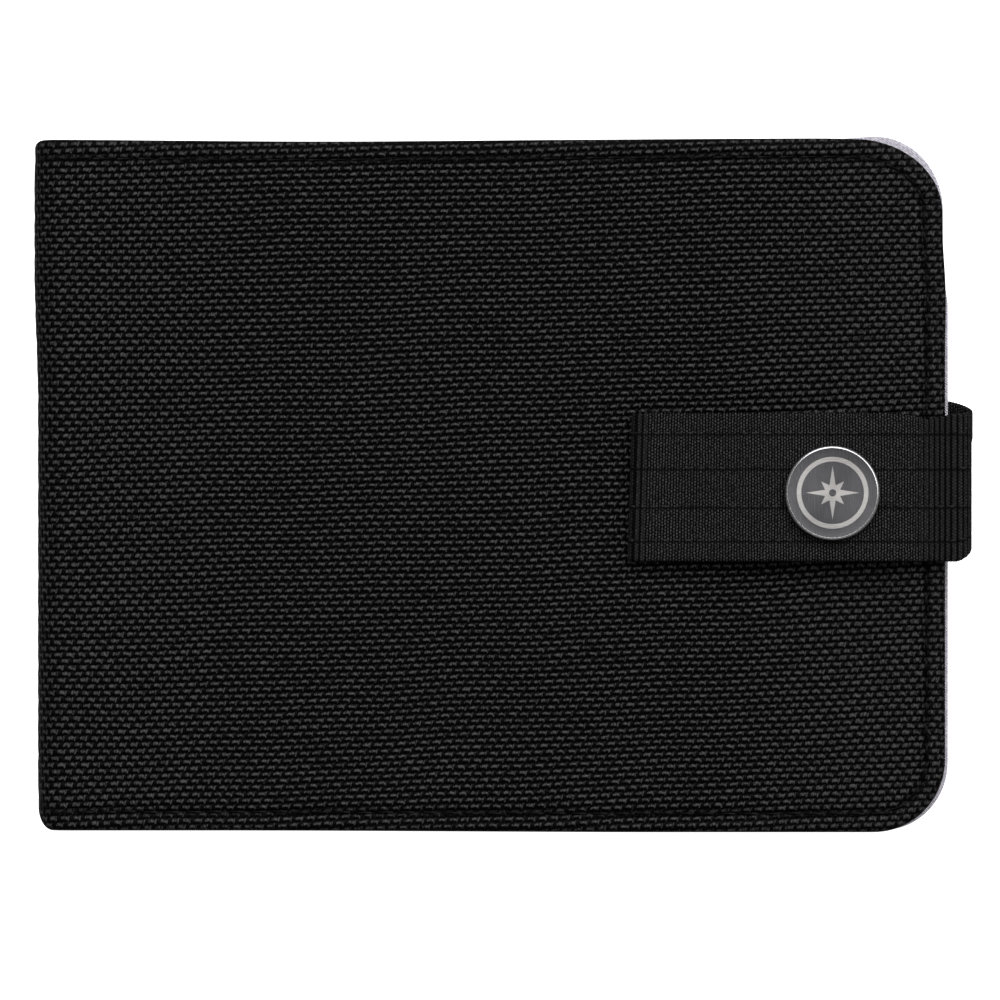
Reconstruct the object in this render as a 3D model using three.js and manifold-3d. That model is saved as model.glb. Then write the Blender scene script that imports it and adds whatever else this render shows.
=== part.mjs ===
// Bifold passport holder wallet, closed and lying on its back cover.
// Millimetres. +X runs from the fold to the open edge, +Y up the cover, +Z out of the front cover.
// The origin is the middle of the closed wallet's footprint, on the surface that it lies on.

import * as THREE from 'three';
import { mergeVertices } from 'three/addons/utils/BufferGeometryUtils.js';
import Module from 'manifold-3d';

const wasm = await Module();
wasm.setup();

// ---------------------------------------------------------------- driving dimensions

// Closed body
const COVER_WIDTH = 140; // the fold's outer face to the front cover's free edge
const COVER_HEIGHT = 106.6;
const THICKNESS = 12.4; // closed, over both covers, without the strap
const BACK_REACH = 1.1; // the back half reaches this far past the front cover's free edge
const FRONT_TOP_CORNER = 12.5; // corner radii at the free edge
const FRONT_LOW_CORNER = 11.4;
const BACK_CORNER = 10;

// Layers
const SHELL = 1.0; // outer fabric with its backing
const BOARD = 0.7; // stiffener
const LINING = 0.4;
const PANEL = 0.35; // pocket panels of the front half
const GAP = 0.2; // between layers that lie on each other
const SEAM = 3.2; // width of the turned edge round each half
const BOARD_MARGIN = 0.5; // between a board and the turned edge
const BOARD_FROM_BEND = 4; // the boards stop this far short of the fold's bends
const FLAT_MARGIN = 1; // how far the linings stay flat past a board

// Fold
const BEND_OUTER = 5.0; // outer radius of each of the fold's two bends
const BEND_GAP = 2.0; // degrees that each side of a bend stays away from its dividing line
const BEND_STEPS = 6; // flats along each half of a bend

// Pocket for the passport, 125 x 88 mm
const PASSPORT_WIDTH = 125;
const PASSPORT_DEPTH = 4.3; // clear depth of the pocket
const POCKET_WALL = 2;
const POCKET_PLAY = 1.5; // how much wider the pocket is than the passport
const POCKET_INSET = 2.6; // of the pocket's walls from the back half's free edge
const POCKET_BASE = 1.5; // of the pocket's lower wall from the back half's lower edge
const POCKET_PLATE = 0.4;
const POCKET_MOUTH = 30; // height of the passport pocket's mouth, from the middle
const POCKET_INNER_CORNER = 3;
const THUMB_RADIUS = 34;
const THUMB_DEPTH = 8;
const BINDING = 3; // width of the binding tape along each mouth

// Card slots
const SLOT_COUNT = 3;
const SLOT_DEPTH = 37.5;
const SLOT_STAGGER = 11;
const PANEL_LEFT = -62;
const PANEL_INSET = 3; // from the front cover's free edge, top and bottom
const PANEL_CORNER = 9.5;
const SLOT_CORNER = 1; // of the upper slots' panels
const DIVIDER_MOUTH = 38;

// Strap
const WEBBING = 0.9; // thickness of one ply
const WEBBING_WIDTH = 23.2;
const WEBBING_Y = -0.2; // its middle line
const STRAP_BEND = 3.0; // middle-line radius of the strap's two bends
const STRAP_BEND_X = 71.1; // where both bends begin
const STRAP_RISE = 1.6; // the strap's middle line over the front cover, where it comes round the edge
const STRAP_TAIL_X = 50; // inner end of the tail sewn into the back half
const STRAP_TIP_X = 21.7;
const STRAP_TURNED_X = 61; // where the turned-under ply ends
const STRAP_ROOM = 1; // round the tail in the back half's seam
const TIP_GAP = 0.3; // between the strap's tip and the front cover
const TIP_FLAT = 3; // length of the tip that lies level
const SNAP_FLAT = 8.5; // the flap is level this far each side of the snap
const FLAP_FLAT = 1; // and this far from where its bend ends
const FLAP_STEPS = 10; // flats along each sloping stretch of the flap
const TURN_STEPS = 8; // flats round the tip
const PLY_STEP = WEBBING + GAP;

// Snap fastener, cap
const SNAP_X = 52.5;
const SNAP_Y = -1.2;
const CAP_RADIUS = 7.3;
const CAP_HEIGHT = 1.5;
const CAP_CROWN = 0.08; // how far the middle of the cap stands above its face
const CAP_FACE = 1.2; // height of the face's edge
const CAP_FACE_MARGIN = 1.1; // from the face's edge to the side
const CAP_SHOULDER = 1.15; // height of the rounded shoulder
const CAP_SHOULDER_MARGIN = 0.55;
const CAP_SIDE_LOW = 0.35; // the side is upright between these heights
const CAP_SIDE_HIGH = 0.7;
const CAP_UNDERCUT = 0.5;
const CAP_POST = 1.6;
const CAP_POST_END = 0.55; // below the top of the socket
const POST_HOLE = 2.0;

// Snap fastener, socket and its spring
const SOCKET_RADIUS = 6.0;
const SOCKET_BORE = 3.1;
const SOCKET_HEIGHT = 1.7;
const SOCKET_LIP = 0.4; // rounding of the socket's lower edge
const SOCKET_TOP_LIP = 0.2;
const SOCKET_WALL = 0.35; // over the stud
const GROOVE_RADIUS = 3.6;
const GROOVE_START = 0.35; // above the socket's mouth
const GROOVE_WIDTH = 0.6;
const SPRING_WIRE = 0.18;
const SPRING_RADIUS = 3.1;
const SPRING_OPENING = 1; // between the ends of the split ring

// Snap fastener, stud and its backing
const STUD_FLANGE_RADIUS = 5.5;
const STUD_FLANGE = 0.35;
const STUD_BEVEL = 0.15;
const STUD_HEIGHT = 1.65; // flange to the top of the ball
const STUD_BORE = 1.5;
const NECK_RADIUS = 2.2;
const NECK_FILLET = 0.3;
const NECK_END = 0.8; // below the stud's top
const BALL_RADIUS = 2.6;
const BALL_WIDEST = 0.45; // below the stud's top
const BALL_ROUND = 0.5;
const BACKING_FLANGE = 0.4;
const BACKING_MARGIN = 0.2; // how much smaller the backing is than the stud's flange
const BACKING_LIFT = 0.05; // off the lining
const BACKING_POST = 1.2;
const BACKING_POST_END = 0.2; // below the stud's top
const COVER_RECESS = 0.6; // how far the stud's flange is drawn into the padded front cover
const RECESS_MARGIN = 1.2; // round the socket

// Making
const OVERLAP = 0.1; // by which the slabs of one piece run into each other
const RIBBON_OVERLAP = 2; // by which a bent sheet runs into the flat slab that it belongs to
const PAST = 1; // how far a cutter runs past what it cuts

// ---------------------------------------------------------------- derived levels

const LEFT = -COVER_WIDTH / 2;
const FRONT_RIGHT = COVER_WIDTH / 2;
const BACK_RIGHT = FRONT_RIGHT + BACK_REACH;
const HALF_HEIGHT = COVER_HEIGHT / 2;

const BACK_BOARD_Z = SHELL + GAP;
const BACK_LINING_Z = BACK_BOARD_Z + WEBBING + GAP;
const POCKET_FLOOR_Z = BACK_LINING_Z + LINING;
const POCKET_PLATE_Z = POCKET_FLOOR_Z + PASSPORT_DEPTH;

const FRONT_SHELL_Z = THICKNESS - SHELL;
const FRONT_BOARD_Z = FRONT_SHELL_Z - GAP - BOARD;
const FRONT_LINING_Z = FRONT_BOARD_Z - GAP - LINING;
const DIVIDER_Z = FRONT_LINING_Z - GAP - PANEL;
const PANEL_STEP = PANEL + GAP;

const BEND_X = LEFT + BEND_OUTER;
const BEND_MIDDLE = BEND_OUTER - SHELL / 2;
const BOARD_LEFT = BEND_X + BOARD_FROM_BEND;
const FLAT_LEFT = BOARD_LEFT - FLAT_MARGIN; // from here to the free edge the layers are flat
const LOWER_BEND = new THREE.Vector2(BEND_X, BEND_OUTER);
const UPPER_BEND = new THREE.Vector2(BEND_X, THICKNESS - BEND_OUTER);
const LINING_MIDDLE = BEND_OUTER - SHELL - GAP - LINING / 2;

const TAIL_Z = BACK_BOARD_Z + WEBBING / 2;
const RECESS_Z = THICKNESS - COVER_RECESS;
const STUD_Z = RECESS_Z + GAP;
const SOCKET_Z = STUD_Z + STUD_FLANGE + GAP;
const PLY_Z = SOCKET_Z + SOCKET_HEIGHT + GAP + WEBBING / 2; // middle of the inner ply over the snap
const CAP_Z = PLY_Z + PLY_STEP + WEBBING / 2 + GAP;
const STRAP_LOWER = new THREE.Vector2(STRAP_BEND_X, TAIL_Z + STRAP_BEND);
const STRAP_UPPER = new THREE.Vector2(STRAP_BEND_X, THICKNESS + STRAP_RISE - STRAP_BEND);
const STRAP_REACH = STRAP_BEND_X + STRAP_BEND + WEBBING / 2;

// ---------------------------------------------------------------- solids and booleans

function toSolid(geometry) {
  geometry.deleteAttribute('normal');
  geometry.deleteAttribute('uv');
  const merged = mergeVertices(geometry, 1e-4);
  return new wasm.Manifold(new wasm.Mesh({
    numProp: 3,
    vertProperties: new Float32Array(merged.attributes.position.array),
    triVerts: new Uint32Array(merged.index.array),
  }));
}

function toGeometry(solid) {
  const { vertProperties, triVerts } = solid.getMesh();
  const geometry = new THREE.BufferGeometry();
  geometry.setAttribute('position', new THREE.BufferAttribute(vertProperties, 3));
  geometry.setIndex(new THREE.BufferAttribute(triVerts, 1));
  geometry.computeVertexNormals();
  return geometry;
}

function joined(...solids) {
  return solids.reduce((sum, next) => sum.add(next));
}

// ---------------------------------------------------------------- outlines and profiles

// An outline in X and Y, square on the fold's side and round at the free edge.
function outline({ left, right, bottom, top, lowRadius, highRadius = 0 }) {
  const shape = new THREE.Shape();
  shape.moveTo(left, bottom);
  shape.lineTo(right - lowRadius, bottom);
  shape.absarc(right - lowRadius, bottom + lowRadius, lowRadius, -Math.PI / 2, 0, false);
  shape.lineTo(right, top - highRadius);
  if (highRadius > 0) {
    shape.absarc(right - highRadius, top - highRadius, highRadius, 0, Math.PI / 2, false);
  }
  shape.lineTo(left, top);
  shape.closePath();
  return shape;
}

function slab(shape, low, high) {
  const geometry = new THREE.ExtrudeGeometry(shape, {
    depth: high - low,
    bevelEnabled: false,
    curveSegments: 8,
  });
  geometry.translate(0, 0, low);
  return toSolid(geometry);
}

function block(x0, x1, y0, y1, z0, z1) {
  const geometry = new THREE.BoxGeometry(x1 - x0, y1 - y0, z1 - z0);
  geometry.translate((x0 + x1) / 2, (y0 + y1) / 2, (z0 + z1) / 2);
  return toSolid(geometry);
}

function rod(x, y, radius, z0, z1, segments = 32) {
  const geometry = new THREE.CylinderGeometry(radius, radius, z1 - z0, segments);
  geometry.rotateX(Math.PI / 2);
  geometry.translate(x, y, (z0 + z1) / 2);
  return toSolid(geometry);
}

// Points along an arc in X and Z.
function arc(centre, radius, fromDegrees, toDegrees, steps = BEND_STEPS) {
  return Array.from({ length: steps + 1 }, (_, i) => {
    const angle = THREE.MathUtils.degToRad(fromDegrees + (toDegrees - fromDegrees) * i / steps);
    return new THREE.Vector2(centre.x + radius * Math.cos(angle), centre.y + radius * Math.sin(angle));
  });
}

// Points from one level to another with level ends, in X and Z.
function ease(x0, z0, x1, z1, steps) {
  return Array.from({ length: steps + 1 }, (_, i) => {
    const t = i / steps;
    return new THREE.Vector2(x0 + (x1 - x0) * t, z0 + (z1 - z0) * t * t * (3 - 2 * t));
  });
}

// A sheet of one thickness that follows a path in X and Z and spans low to high in Y.
function ribbon(path, thickness, low, high) {
  const sides = path.map((point, i) => {
    const before = path[Math.max(i - 1, 0)];
    const after = path[Math.min(i + 1, path.length - 1)];
    const normal = new THREE.Vector2(before.y - after.y, after.x - before.x).setLength(thickness / 2);
    return [point.clone().add(normal), point.clone().sub(normal)];
  });
  const ring = [...sides.map((pair) => pair[0]), ...sides.map((pair) => pair[1]).reverse()];
  const geometry = new THREE.ExtrudeGeometry(new THREE.Shape(ring), {
    depth: high - low,
    bevelEnabled: false,
  });
  geometry.rotateX(Math.PI / 2);
  geometry.translate(0, high, 0);
  return toSolid(geometry);
}

function turned(points, segments = 40) {
  const geometry = new THREE.LatheGeometry(points.map(([r, z]) => new THREE.Vector2(r, z)), segments);
  geometry.rotateX(Math.PI / 2);
  geometry.translate(SNAP_X, SNAP_Y, 0);
  return geometry;
}

// ---------------------------------------------------------------- materials

function material(color, roughness, metalness = 0) {
  return () => new THREE.MeshStandardMaterial({ color, roughness, metalness });
}

const nylon = material(0x17171a, 0.75);
const webbing = material(0x141416, 0.8);
const lavender = material(0xb9b4c2, 0.85);
const board = material(0x55565a, 0.6);
const tape = material(0x222226, 0.8);
const steel = material(0x77757a, 0.35, 1);

const wallet = new THREE.Group();

function add(name, shape, look) {
  const geometry = shape.isBufferGeometry ? shape : toGeometry(shape);
  const mesh = new THREE.Mesh(geometry, look());
  mesh.name = name;
  wallet.add(mesh);
}

// ---------------------------------------------------------------- back half

const backOutline = {
  left: BEND_X,
  right: BACK_RIGHT,
  bottom: -HALF_HEIGHT,
  top: HALF_HEIGHT,
  lowRadius: BACK_CORNER,
  highRadius: BACK_CORNER,
};

function inset(edges, distance) {
  return {
    left: edges.left - PAST,
    right: edges.right - distance,
    bottom: edges.bottom + distance,
    top: edges.top - distance,
    lowRadius: edges.lowRadius - distance,
    highRadius: edges.highRadius - distance,
  };
}

// The turned edge: a band along the three free sides of a half.
function edgeBand(edges, low, high) {
  const band = outline({ ...edges, left: FLAT_LEFT });
  return slab(band, low, high).subtract(slab(outline(inset(edges, SEAM)), low - PAST, high + PAST));
}

const STRAP_LOW = WEBBING_Y - WEBBING_WIDTH / 2;
const STRAP_HIGH = WEBBING_Y + WEBBING_WIDTH / 2;

function tailRoom(low, high) {
  const bottom = STRAP_LOW - STRAP_ROOM;
  const top = STRAP_HIGH + STRAP_ROOM;
  return block(STRAP_TAIL_X - STRAP_ROOM, BACK_RIGHT + PAST, bottom, top, low, high);
}

const backShell = joined(
  slab(outline(backOutline), 0, SHELL),
  edgeBand(backOutline, SHELL - OVERLAP, BACK_LINING_Z - GAP).subtract(tailRoom(SHELL, BACK_LINING_Z)),
  ribbon(
    [
      new THREE.Vector2(BEND_X + RIBBON_OVERLAP, SHELL / 2),
      ...arc(LOWER_BEND, BEND_MIDDLE, 270, 225 + BEND_GAP),
    ],
    SHELL,
    -HALF_HEIGHT,
    HALF_HEIGHT,
  ),
);
add('back_cover_shell', backShell, nylon);

const BOARD_INSET = SEAM + BOARD_MARGIN;
const backBoardOutline = { ...inset(backOutline, BOARD_INSET), left: BOARD_LEFT };
add(
  'back_stiffener',
  slab(outline(backBoardOutline), BACK_BOARD_Z, BACK_BOARD_Z + BOARD).subtract(tailRoom(0, THICKNESS)),
  board,
);

// A lining lies on its board, comes down off it towards the fold and goes half way round the bend.
function lining(edges, level, bend, bendLevel, fromDegrees, toDegrees) {
  const middle = level + LINING / 2;
  return joined(
    slab(outline({ ...edges, left: FLAT_LEFT }), level, level + LINING),
    ribbon(
      [
        new THREE.Vector2(FLAT_LEFT + RIBBON_OVERLAP, middle),
        ...ease(FLAT_LEFT, middle, BEND_X, bendLevel, BEND_STEPS).slice(0, -1),
        ...arc(bend, LINING_MIDDLE, fromDegrees, toDegrees),
      ],
      LINING,
      -HALF_HEIGHT,
      HALF_HEIGHT,
    ),
  );
}

add(
  'back_lining',
  lining(backOutline, BACK_LINING_Z, LOWER_BEND, BEND_OUTER - LINING_MIDDLE, 270, 225 + BEND_GAP),
  lavender,
);

// The passport pocket: a panel on folded side walls, open at the top and towards the lining.
const pocketRight = BACK_RIGHT - POCKET_INSET;
const pocketOuter = {
  left: pocketRight - PASSPORT_WIDTH - POCKET_PLAY - 2 * POCKET_WALL,
  right: pocketRight,
  bottom: -HALF_HEIGHT + POCKET_BASE,
  top: POCKET_MOUTH - BINDING,
  lowRadius: BACK_CORNER - POCKET_INSET,
};
const pocketInner = {
  left: pocketOuter.left + POCKET_WALL,
  right: pocketOuter.right - POCKET_WALL,
  bottom: pocketOuter.bottom + POCKET_WALL,
  top: HALF_HEIGHT,
  lowRadius: POCKET_INNER_CORNER,
};
const pocketMiddle = (pocketOuter.left + pocketOuter.right) / 2;

// The round thumb cut in the mouth.
function thumbDisc(radius) {
  return rod(pocketMiddle, POCKET_MOUTH + THUMB_RADIUS - THUMB_DEPTH, radius, 0, THICKNESS, 64);
}

const pocket = slab(outline(pocketOuter), POCKET_FLOOR_Z + GAP, POCKET_PLATE_Z + POCKET_PLATE)
  .subtract(slab(outline(pocketInner), 0, POCKET_PLATE_Z))
  .subtract(thumbDisc(THUMB_RADIUS));
add('passport_pocket', pocket, nylon);

// Binding tape along a mouth, past the panel's own edge.
function binding(left, right, edge, low, high) {
  return block(left, right, edge + GAP, edge + BINDING, low, high);
}

const mouthTape = binding(pocketOuter.left, pocketOuter.right, pocketOuter.top, 0, THICKNESS);
const tapeLayer = block(
  pocketOuter.left,
  pocketOuter.right,
  0,
  POCKET_MOUTH,
  POCKET_PLATE_Z,
  POCKET_PLATE_Z + POCKET_PLATE,
);
const pocketBinding = mouthTape
  .add(thumbDisc(THUMB_RADIUS - GAP))
  .subtract(thumbDisc(THUMB_RADIUS - BINDING))
  .intersect(tapeLayer);
add('passport_pocket_binding', pocketBinding, tape);

// ---------------------------------------------------------------- spine

function spineSheet(radius, thickness) {
  return ribbon(
    [
      ...arc(LOWER_BEND, radius, 225 - BEND_GAP, 180),
      ...arc(UPPER_BEND, radius, 180, 135 + BEND_GAP),
    ],
    thickness,
    -HALF_HEIGHT,
    HALF_HEIGHT,
  );
}

add('spine_cover', spineSheet(BEND_MIDDLE, SHELL), nylon);
add('spine_lining', spineSheet(LINING_MIDDLE, LINING), lavender);

// ---------------------------------------------------------------- front half

const frontOutline = {
  left: BEND_X,
  right: FRONT_RIGHT,
  bottom: -HALF_HEIGHT,
  top: HALF_HEIGHT,
  lowRadius: FRONT_LOW_CORNER,
  highRadius: FRONT_TOP_CORNER,
};

const frontShell = joined(
  slab(outline(frontOutline), FRONT_SHELL_Z, THICKNESS),
  edgeBand(frontOutline, FRONT_LINING_Z + LINING + GAP, FRONT_SHELL_Z + OVERLAP),
  ribbon(
    [
      ...arc(UPPER_BEND, BEND_MIDDLE, 135 - BEND_GAP, 90),
      new THREE.Vector2(BEND_X + RIBBON_OVERLAP, THICKNESS - SHELL / 2),
    ],
    SHELL,
    -HALF_HEIGHT,
    HALF_HEIGHT,
  ),
).subtract(rod(SNAP_X, SNAP_Y, SOCKET_RADIUS + RECESS_MARGIN, RECESS_Z, THICKNESS + PAST))
  .subtract(rod(SNAP_X, SNAP_Y, POST_HOLE, 0, THICKNESS + PAST));
add('front_cover_shell', frontShell, nylon);

const frontBoard = slab(
  outline({ ...inset(frontOutline, BOARD_INSET), left: BOARD_LEFT }),
  FRONT_BOARD_Z,
  FRONT_BOARD_Z + BOARD,
).subtract(rod(SNAP_X, SNAP_Y, STUD_FLANGE_RADIUS + BOARD_MARGIN, 0, THICKNESS));
add('front_stiffener', frontBoard, board);

add(
  'front_lining',
  lining(
    frontOutline,
    FRONT_LINING_Z,
    UPPER_BEND,
    THICKNESS - BEND_OUTER + LINING_MIDDLE,
    90,
    135 - BEND_GAP,
  ),
  lavender,
);

// The divider makes the banknote compartment, and the card slots lie on it like steps.
const panelEdges = {
  left: PANEL_LEFT,
  right: FRONT_RIGHT - PANEL_INSET,
  bottom: -HALF_HEIGHT + PANEL_INSET,
  top: DIVIDER_MOUTH - BINDING,
  lowRadius: PANEL_CORNER,
};

function pocketPanel(name, edges, level) {
  add(name, slab(outline(edges), level, level + PANEL), nylon);
  add(`${name}_binding`, binding(edges.left, edges.right, edges.top, level, level + PANEL), tape);
}

pocketPanel('banknote_divider', panelEdges, DIVIDER_Z);
for (let i = 0; i < SLOT_COUNT; i += 1) {
  const bottom = panelEdges.bottom + SLOT_STAGGER * i;
  const edges = {
    ...panelEdges,
    bottom,
    top: bottom + SLOT_DEPTH - BINDING,
    lowRadius: i === 0 ? PANEL_CORNER : SLOT_CORNER,
  };
  pocketPanel(`card_slot_${i + 1}`, edges, DIVIDER_Z - PANEL_STEP * (SLOT_COUNT - i));
}

// ---------------------------------------------------------------- snap, fixed side

const STUD_TOP = STUD_Z + STUD_HEIGHT;
add('snap_stud', turned([
  [STUD_BORE, STUD_Z],
  [STUD_FLANGE_RADIUS - STUD_BEVEL, STUD_Z],
  [STUD_FLANGE_RADIUS, STUD_Z + STUD_FLANGE / 2],
  [STUD_FLANGE_RADIUS - STUD_BEVEL, STUD_Z + STUD_FLANGE],
  [NECK_RADIUS + NECK_FILLET, STUD_Z + STUD_FLANGE],
  [NECK_RADIUS, STUD_Z + STUD_FLANGE + NECK_FILLET],
  [NECK_RADIUS, STUD_TOP - NECK_END],
  [BALL_RADIUS, STUD_TOP - BALL_WIDEST],
  [BALL_RADIUS - STUD_BEVEL, STUD_TOP - STUD_BEVEL],
  [BALL_RADIUS - BALL_ROUND, STUD_TOP],
  [STUD_BORE, STUD_TOP],
  [STUD_BORE, STUD_Z],
]), steel);

const BACKING_Z = FRONT_BOARD_Z + BACKING_LIFT;
const BACKING_RADIUS = STUD_FLANGE_RADIUS - BACKING_MARGIN;
add('stud_backing', turned([
  [0, BACKING_Z],
  [BACKING_RADIUS, BACKING_Z],
  [BACKING_RADIUS, BACKING_Z + BACKING_FLANGE],
  [BACKING_POST, BACKING_Z + BACKING_FLANGE],
  [BACKING_POST, STUD_TOP - BACKING_POST_END],
  [0, STUD_TOP - BACKING_POST_END],
]), steel);

// ---------------------------------------------------------------- strap

add(
  'strap_tail',
  ribbon(
    [
      new THREE.Vector2(STRAP_TAIL_X, TAIL_Z),
      ...arc(STRAP_LOWER, STRAP_BEND, 270, 315 - BEND_GAP),
    ],
    WEBBING,
    STRAP_LOW,
    STRAP_HIGH,
  ),
  webbing,
);

add(
  'strap_bridge',
  ribbon(
    [
      ...arc(STRAP_LOWER, STRAP_BEND, 315 + BEND_GAP, 360),
      ...arc(STRAP_UPPER, STRAP_BEND, 0, 45 - BEND_GAP),
    ],
    WEBBING,
    STRAP_LOW,
    STRAP_HIGH,
  ),
  webbing,
);

// The flap rises over the snap, comes down to the cover and turns under itself at its tip.
const TIP_Z = THICKNESS + TIP_GAP + WEBBING / 2; // middle of the inner ply at the tip
const TIP_X = STRAP_TIP_X + WEBBING / 2 + PLY_STEP / 2;
const TIP_FLAT_X = TIP_X + TIP_FLAT;
const FLAP_RIGHT = STRAP_BEND_X - FLAP_FLAT;
const tipTurn = new THREE.Vector2(TIP_X, TIP_Z + PLY_STEP / 2);
const outerPly = [
  ...arc(STRAP_UPPER, STRAP_BEND, 45 + BEND_GAP, 90),
  ...ease(FLAP_RIGHT, STRAP_UPPER.y + STRAP_BEND, SNAP_X + SNAP_FLAT, PLY_Z + PLY_STEP, FLAP_STEPS),
  ...ease(SNAP_X - SNAP_FLAT, PLY_Z + PLY_STEP, TIP_FLAT_X, TIP_Z + PLY_STEP, FLAP_STEPS),
];
const innerPly = [
  ...ease(TIP_FLAT_X, TIP_Z, SNAP_X - SNAP_FLAT, PLY_Z, FLAP_STEPS),
  new THREE.Vector2(STRAP_TURNED_X, PLY_Z),
];
const flap = ribbon(
  [...outerPly, ...arc(tipTurn, PLY_STEP / 2, 90, 270, TURN_STEPS), ...innerPly],
  WEBBING,
  STRAP_LOW,
  STRAP_HIGH,
).subtract(rod(SNAP_X, SNAP_Y, POST_HOLE, 0, CAP_Z));
add('strap_flap', flap, webbing);

// ---------------------------------------------------------------- snap, moving side

const POST_END_Z = SOCKET_Z + SOCKET_HEIGHT - CAP_POST_END;
add('snap_cap', turned([
  [0, POST_END_Z],
  [CAP_POST, POST_END_Z],
  [CAP_POST, CAP_Z],
  [CAP_RADIUS - CAP_UNDERCUT, CAP_Z],
  [CAP_RADIUS, CAP_Z + CAP_SIDE_LOW],
  [CAP_RADIUS, CAP_Z + CAP_SIDE_HIGH],
  [CAP_RADIUS - CAP_SHOULDER_MARGIN, CAP_Z + CAP_SHOULDER],
  [CAP_RADIUS - CAP_FACE_MARGIN, CAP_Z + CAP_FACE],
  [CAP_RADIUS / 2, CAP_Z + CAP_HEIGHT - CAP_CROWN],
  [0, CAP_Z + CAP_HEIGHT],
]), steel);

const GROOVE_LOW = SOCKET_Z + GROOVE_START;
const GROOVE_HIGH = GROOVE_LOW + GROOVE_WIDTH;
const SOCKET_TOP = SOCKET_Z + SOCKET_HEIGHT;
const SOCKET_ROOF = SOCKET_TOP - SOCKET_WALL;
add('snap_socket', turned([
  [SOCKET_BORE, SOCKET_Z],
  [SOCKET_RADIUS - SOCKET_LIP, SOCKET_Z],
  [SOCKET_RADIUS, SOCKET_Z + SOCKET_LIP],
  [SOCKET_RADIUS, SOCKET_TOP - SOCKET_TOP_LIP],
  [SOCKET_RADIUS - SOCKET_TOP_LIP, SOCKET_TOP],
  [CAP_POST + GAP, SOCKET_TOP],
  [CAP_POST + GAP, SOCKET_ROOF],
  [SOCKET_BORE, SOCKET_ROOF],
  [SOCKET_BORE, GROOVE_HIGH],
  [GROOVE_RADIUS, GROOVE_HIGH],
  [GROOVE_RADIUS, GROOVE_LOW],
  [SOCKET_BORE, GROOVE_LOW],
  [SOCKET_BORE, SOCKET_Z],
]), steel);

// The split ring spring that grips the stud's neck, open towards the strap's bend.
const springOpening = block(
  SNAP_X,
  SNAP_X + SOCKET_RADIUS,
  SNAP_Y - SPRING_OPENING / 2,
  SNAP_Y + SPRING_OPENING / 2,
  SOCKET_Z,
  SOCKET_TOP,
);
const springRing = new THREE.TorusGeometry(SPRING_RADIUS, SPRING_WIRE, 8, 40);
springRing.translate(SNAP_X, SNAP_Y, (GROOVE_LOW + GROOVE_HIGH) / 2);
add('snap_spring', toSolid(springRing).subtract(springOpening), steel);

// The strap's loop stands out past the covers, so the footprint's middle is not the covers' middle.
wallet.position.x = -(LEFT + STRAP_REACH) / 2;

export default wallet;
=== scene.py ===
import math

import bpy
import numpy as np
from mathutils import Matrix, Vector
from mathutils.bvhtree import BVHTree
from mathutils.geometry import delaunay_2d_cdt


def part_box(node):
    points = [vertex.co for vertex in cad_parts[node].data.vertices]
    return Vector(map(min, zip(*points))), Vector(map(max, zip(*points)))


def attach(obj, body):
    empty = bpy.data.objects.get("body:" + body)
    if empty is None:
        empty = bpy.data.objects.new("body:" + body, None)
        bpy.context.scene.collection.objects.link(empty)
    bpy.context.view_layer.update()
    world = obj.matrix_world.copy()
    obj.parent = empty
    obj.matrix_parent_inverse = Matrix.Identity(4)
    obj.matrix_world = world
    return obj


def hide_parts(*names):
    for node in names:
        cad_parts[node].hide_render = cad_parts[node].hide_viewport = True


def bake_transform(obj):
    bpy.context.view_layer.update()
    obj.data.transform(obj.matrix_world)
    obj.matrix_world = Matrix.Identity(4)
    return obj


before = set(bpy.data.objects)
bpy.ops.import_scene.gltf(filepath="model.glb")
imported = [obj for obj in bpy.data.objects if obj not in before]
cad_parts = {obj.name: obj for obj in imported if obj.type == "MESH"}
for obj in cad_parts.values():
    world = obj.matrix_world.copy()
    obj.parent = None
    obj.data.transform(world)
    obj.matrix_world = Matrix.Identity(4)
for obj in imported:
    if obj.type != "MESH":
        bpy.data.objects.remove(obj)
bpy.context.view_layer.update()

# Passport holder wallet, closed, lying on its back cover. Metres; +X from the fold to the open
# edge, +Y up the cover, +Z out of the front cover.
# A cover is drawn as a flat pattern with coordinates (s, t): s runs along the fabric, from the
# middle of the spine round the fold to the free edge, and equals x on the flat; t is y. A third
# coordinate h stands out of the fabric. A chart is a function that takes (s, t, h) to points in
# the row frame. The weave follows the pattern, which each mesh's UV map holds in millimetres.

MM = 0.001
FRONT, BACK = 1, -1

# ---------------------------------------------------------------- places from the frame

front_high, back_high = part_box("front_cover_shell")[1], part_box("back_cover_shell")[1]
spine_low, tail_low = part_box("spine_cover")[0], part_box("strap_tail")[0]
loop_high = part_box("strap_bridge")[1]
flap_low, flap_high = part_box("strap_flap")
cap_low, cap_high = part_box("snap_cap")

LEFT = spine_low.x
FRONT_RIGHT, BACK_RIGHT = front_high.x, back_high.x
HALF_HEIGHT = front_high.y
THICKNESS = front_high.z
MIDDLE = THICKNESS / 2
SNAP = (cap_low + cap_high) / 2

# The fold's two bends
BEND = 5.0 * MM
BEND_LINE = 4.5 * MM  # radius on which the fabric keeps its length
BEND_X = LEFT + BEND
QUARTER = BEND_LINE * math.pi / 2
PATTERN_END = BEND_X - QUARTER - (MIDDLE - BEND)  # the middle of the spine
FLAT_LEFT = BEND_X + 3 * MM  # from here to the free edge a half is flat
FOLD_LEAN = 0.55 * MM  # the fold stands out this much further along its upper part
FOLD_TOP = (0.8 * MM, 0.3 * MM)  # how the fold's two ends are rounded, across and along it
FOLD_LOW = (1.7 * MM, 2.4 * MM)

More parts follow.
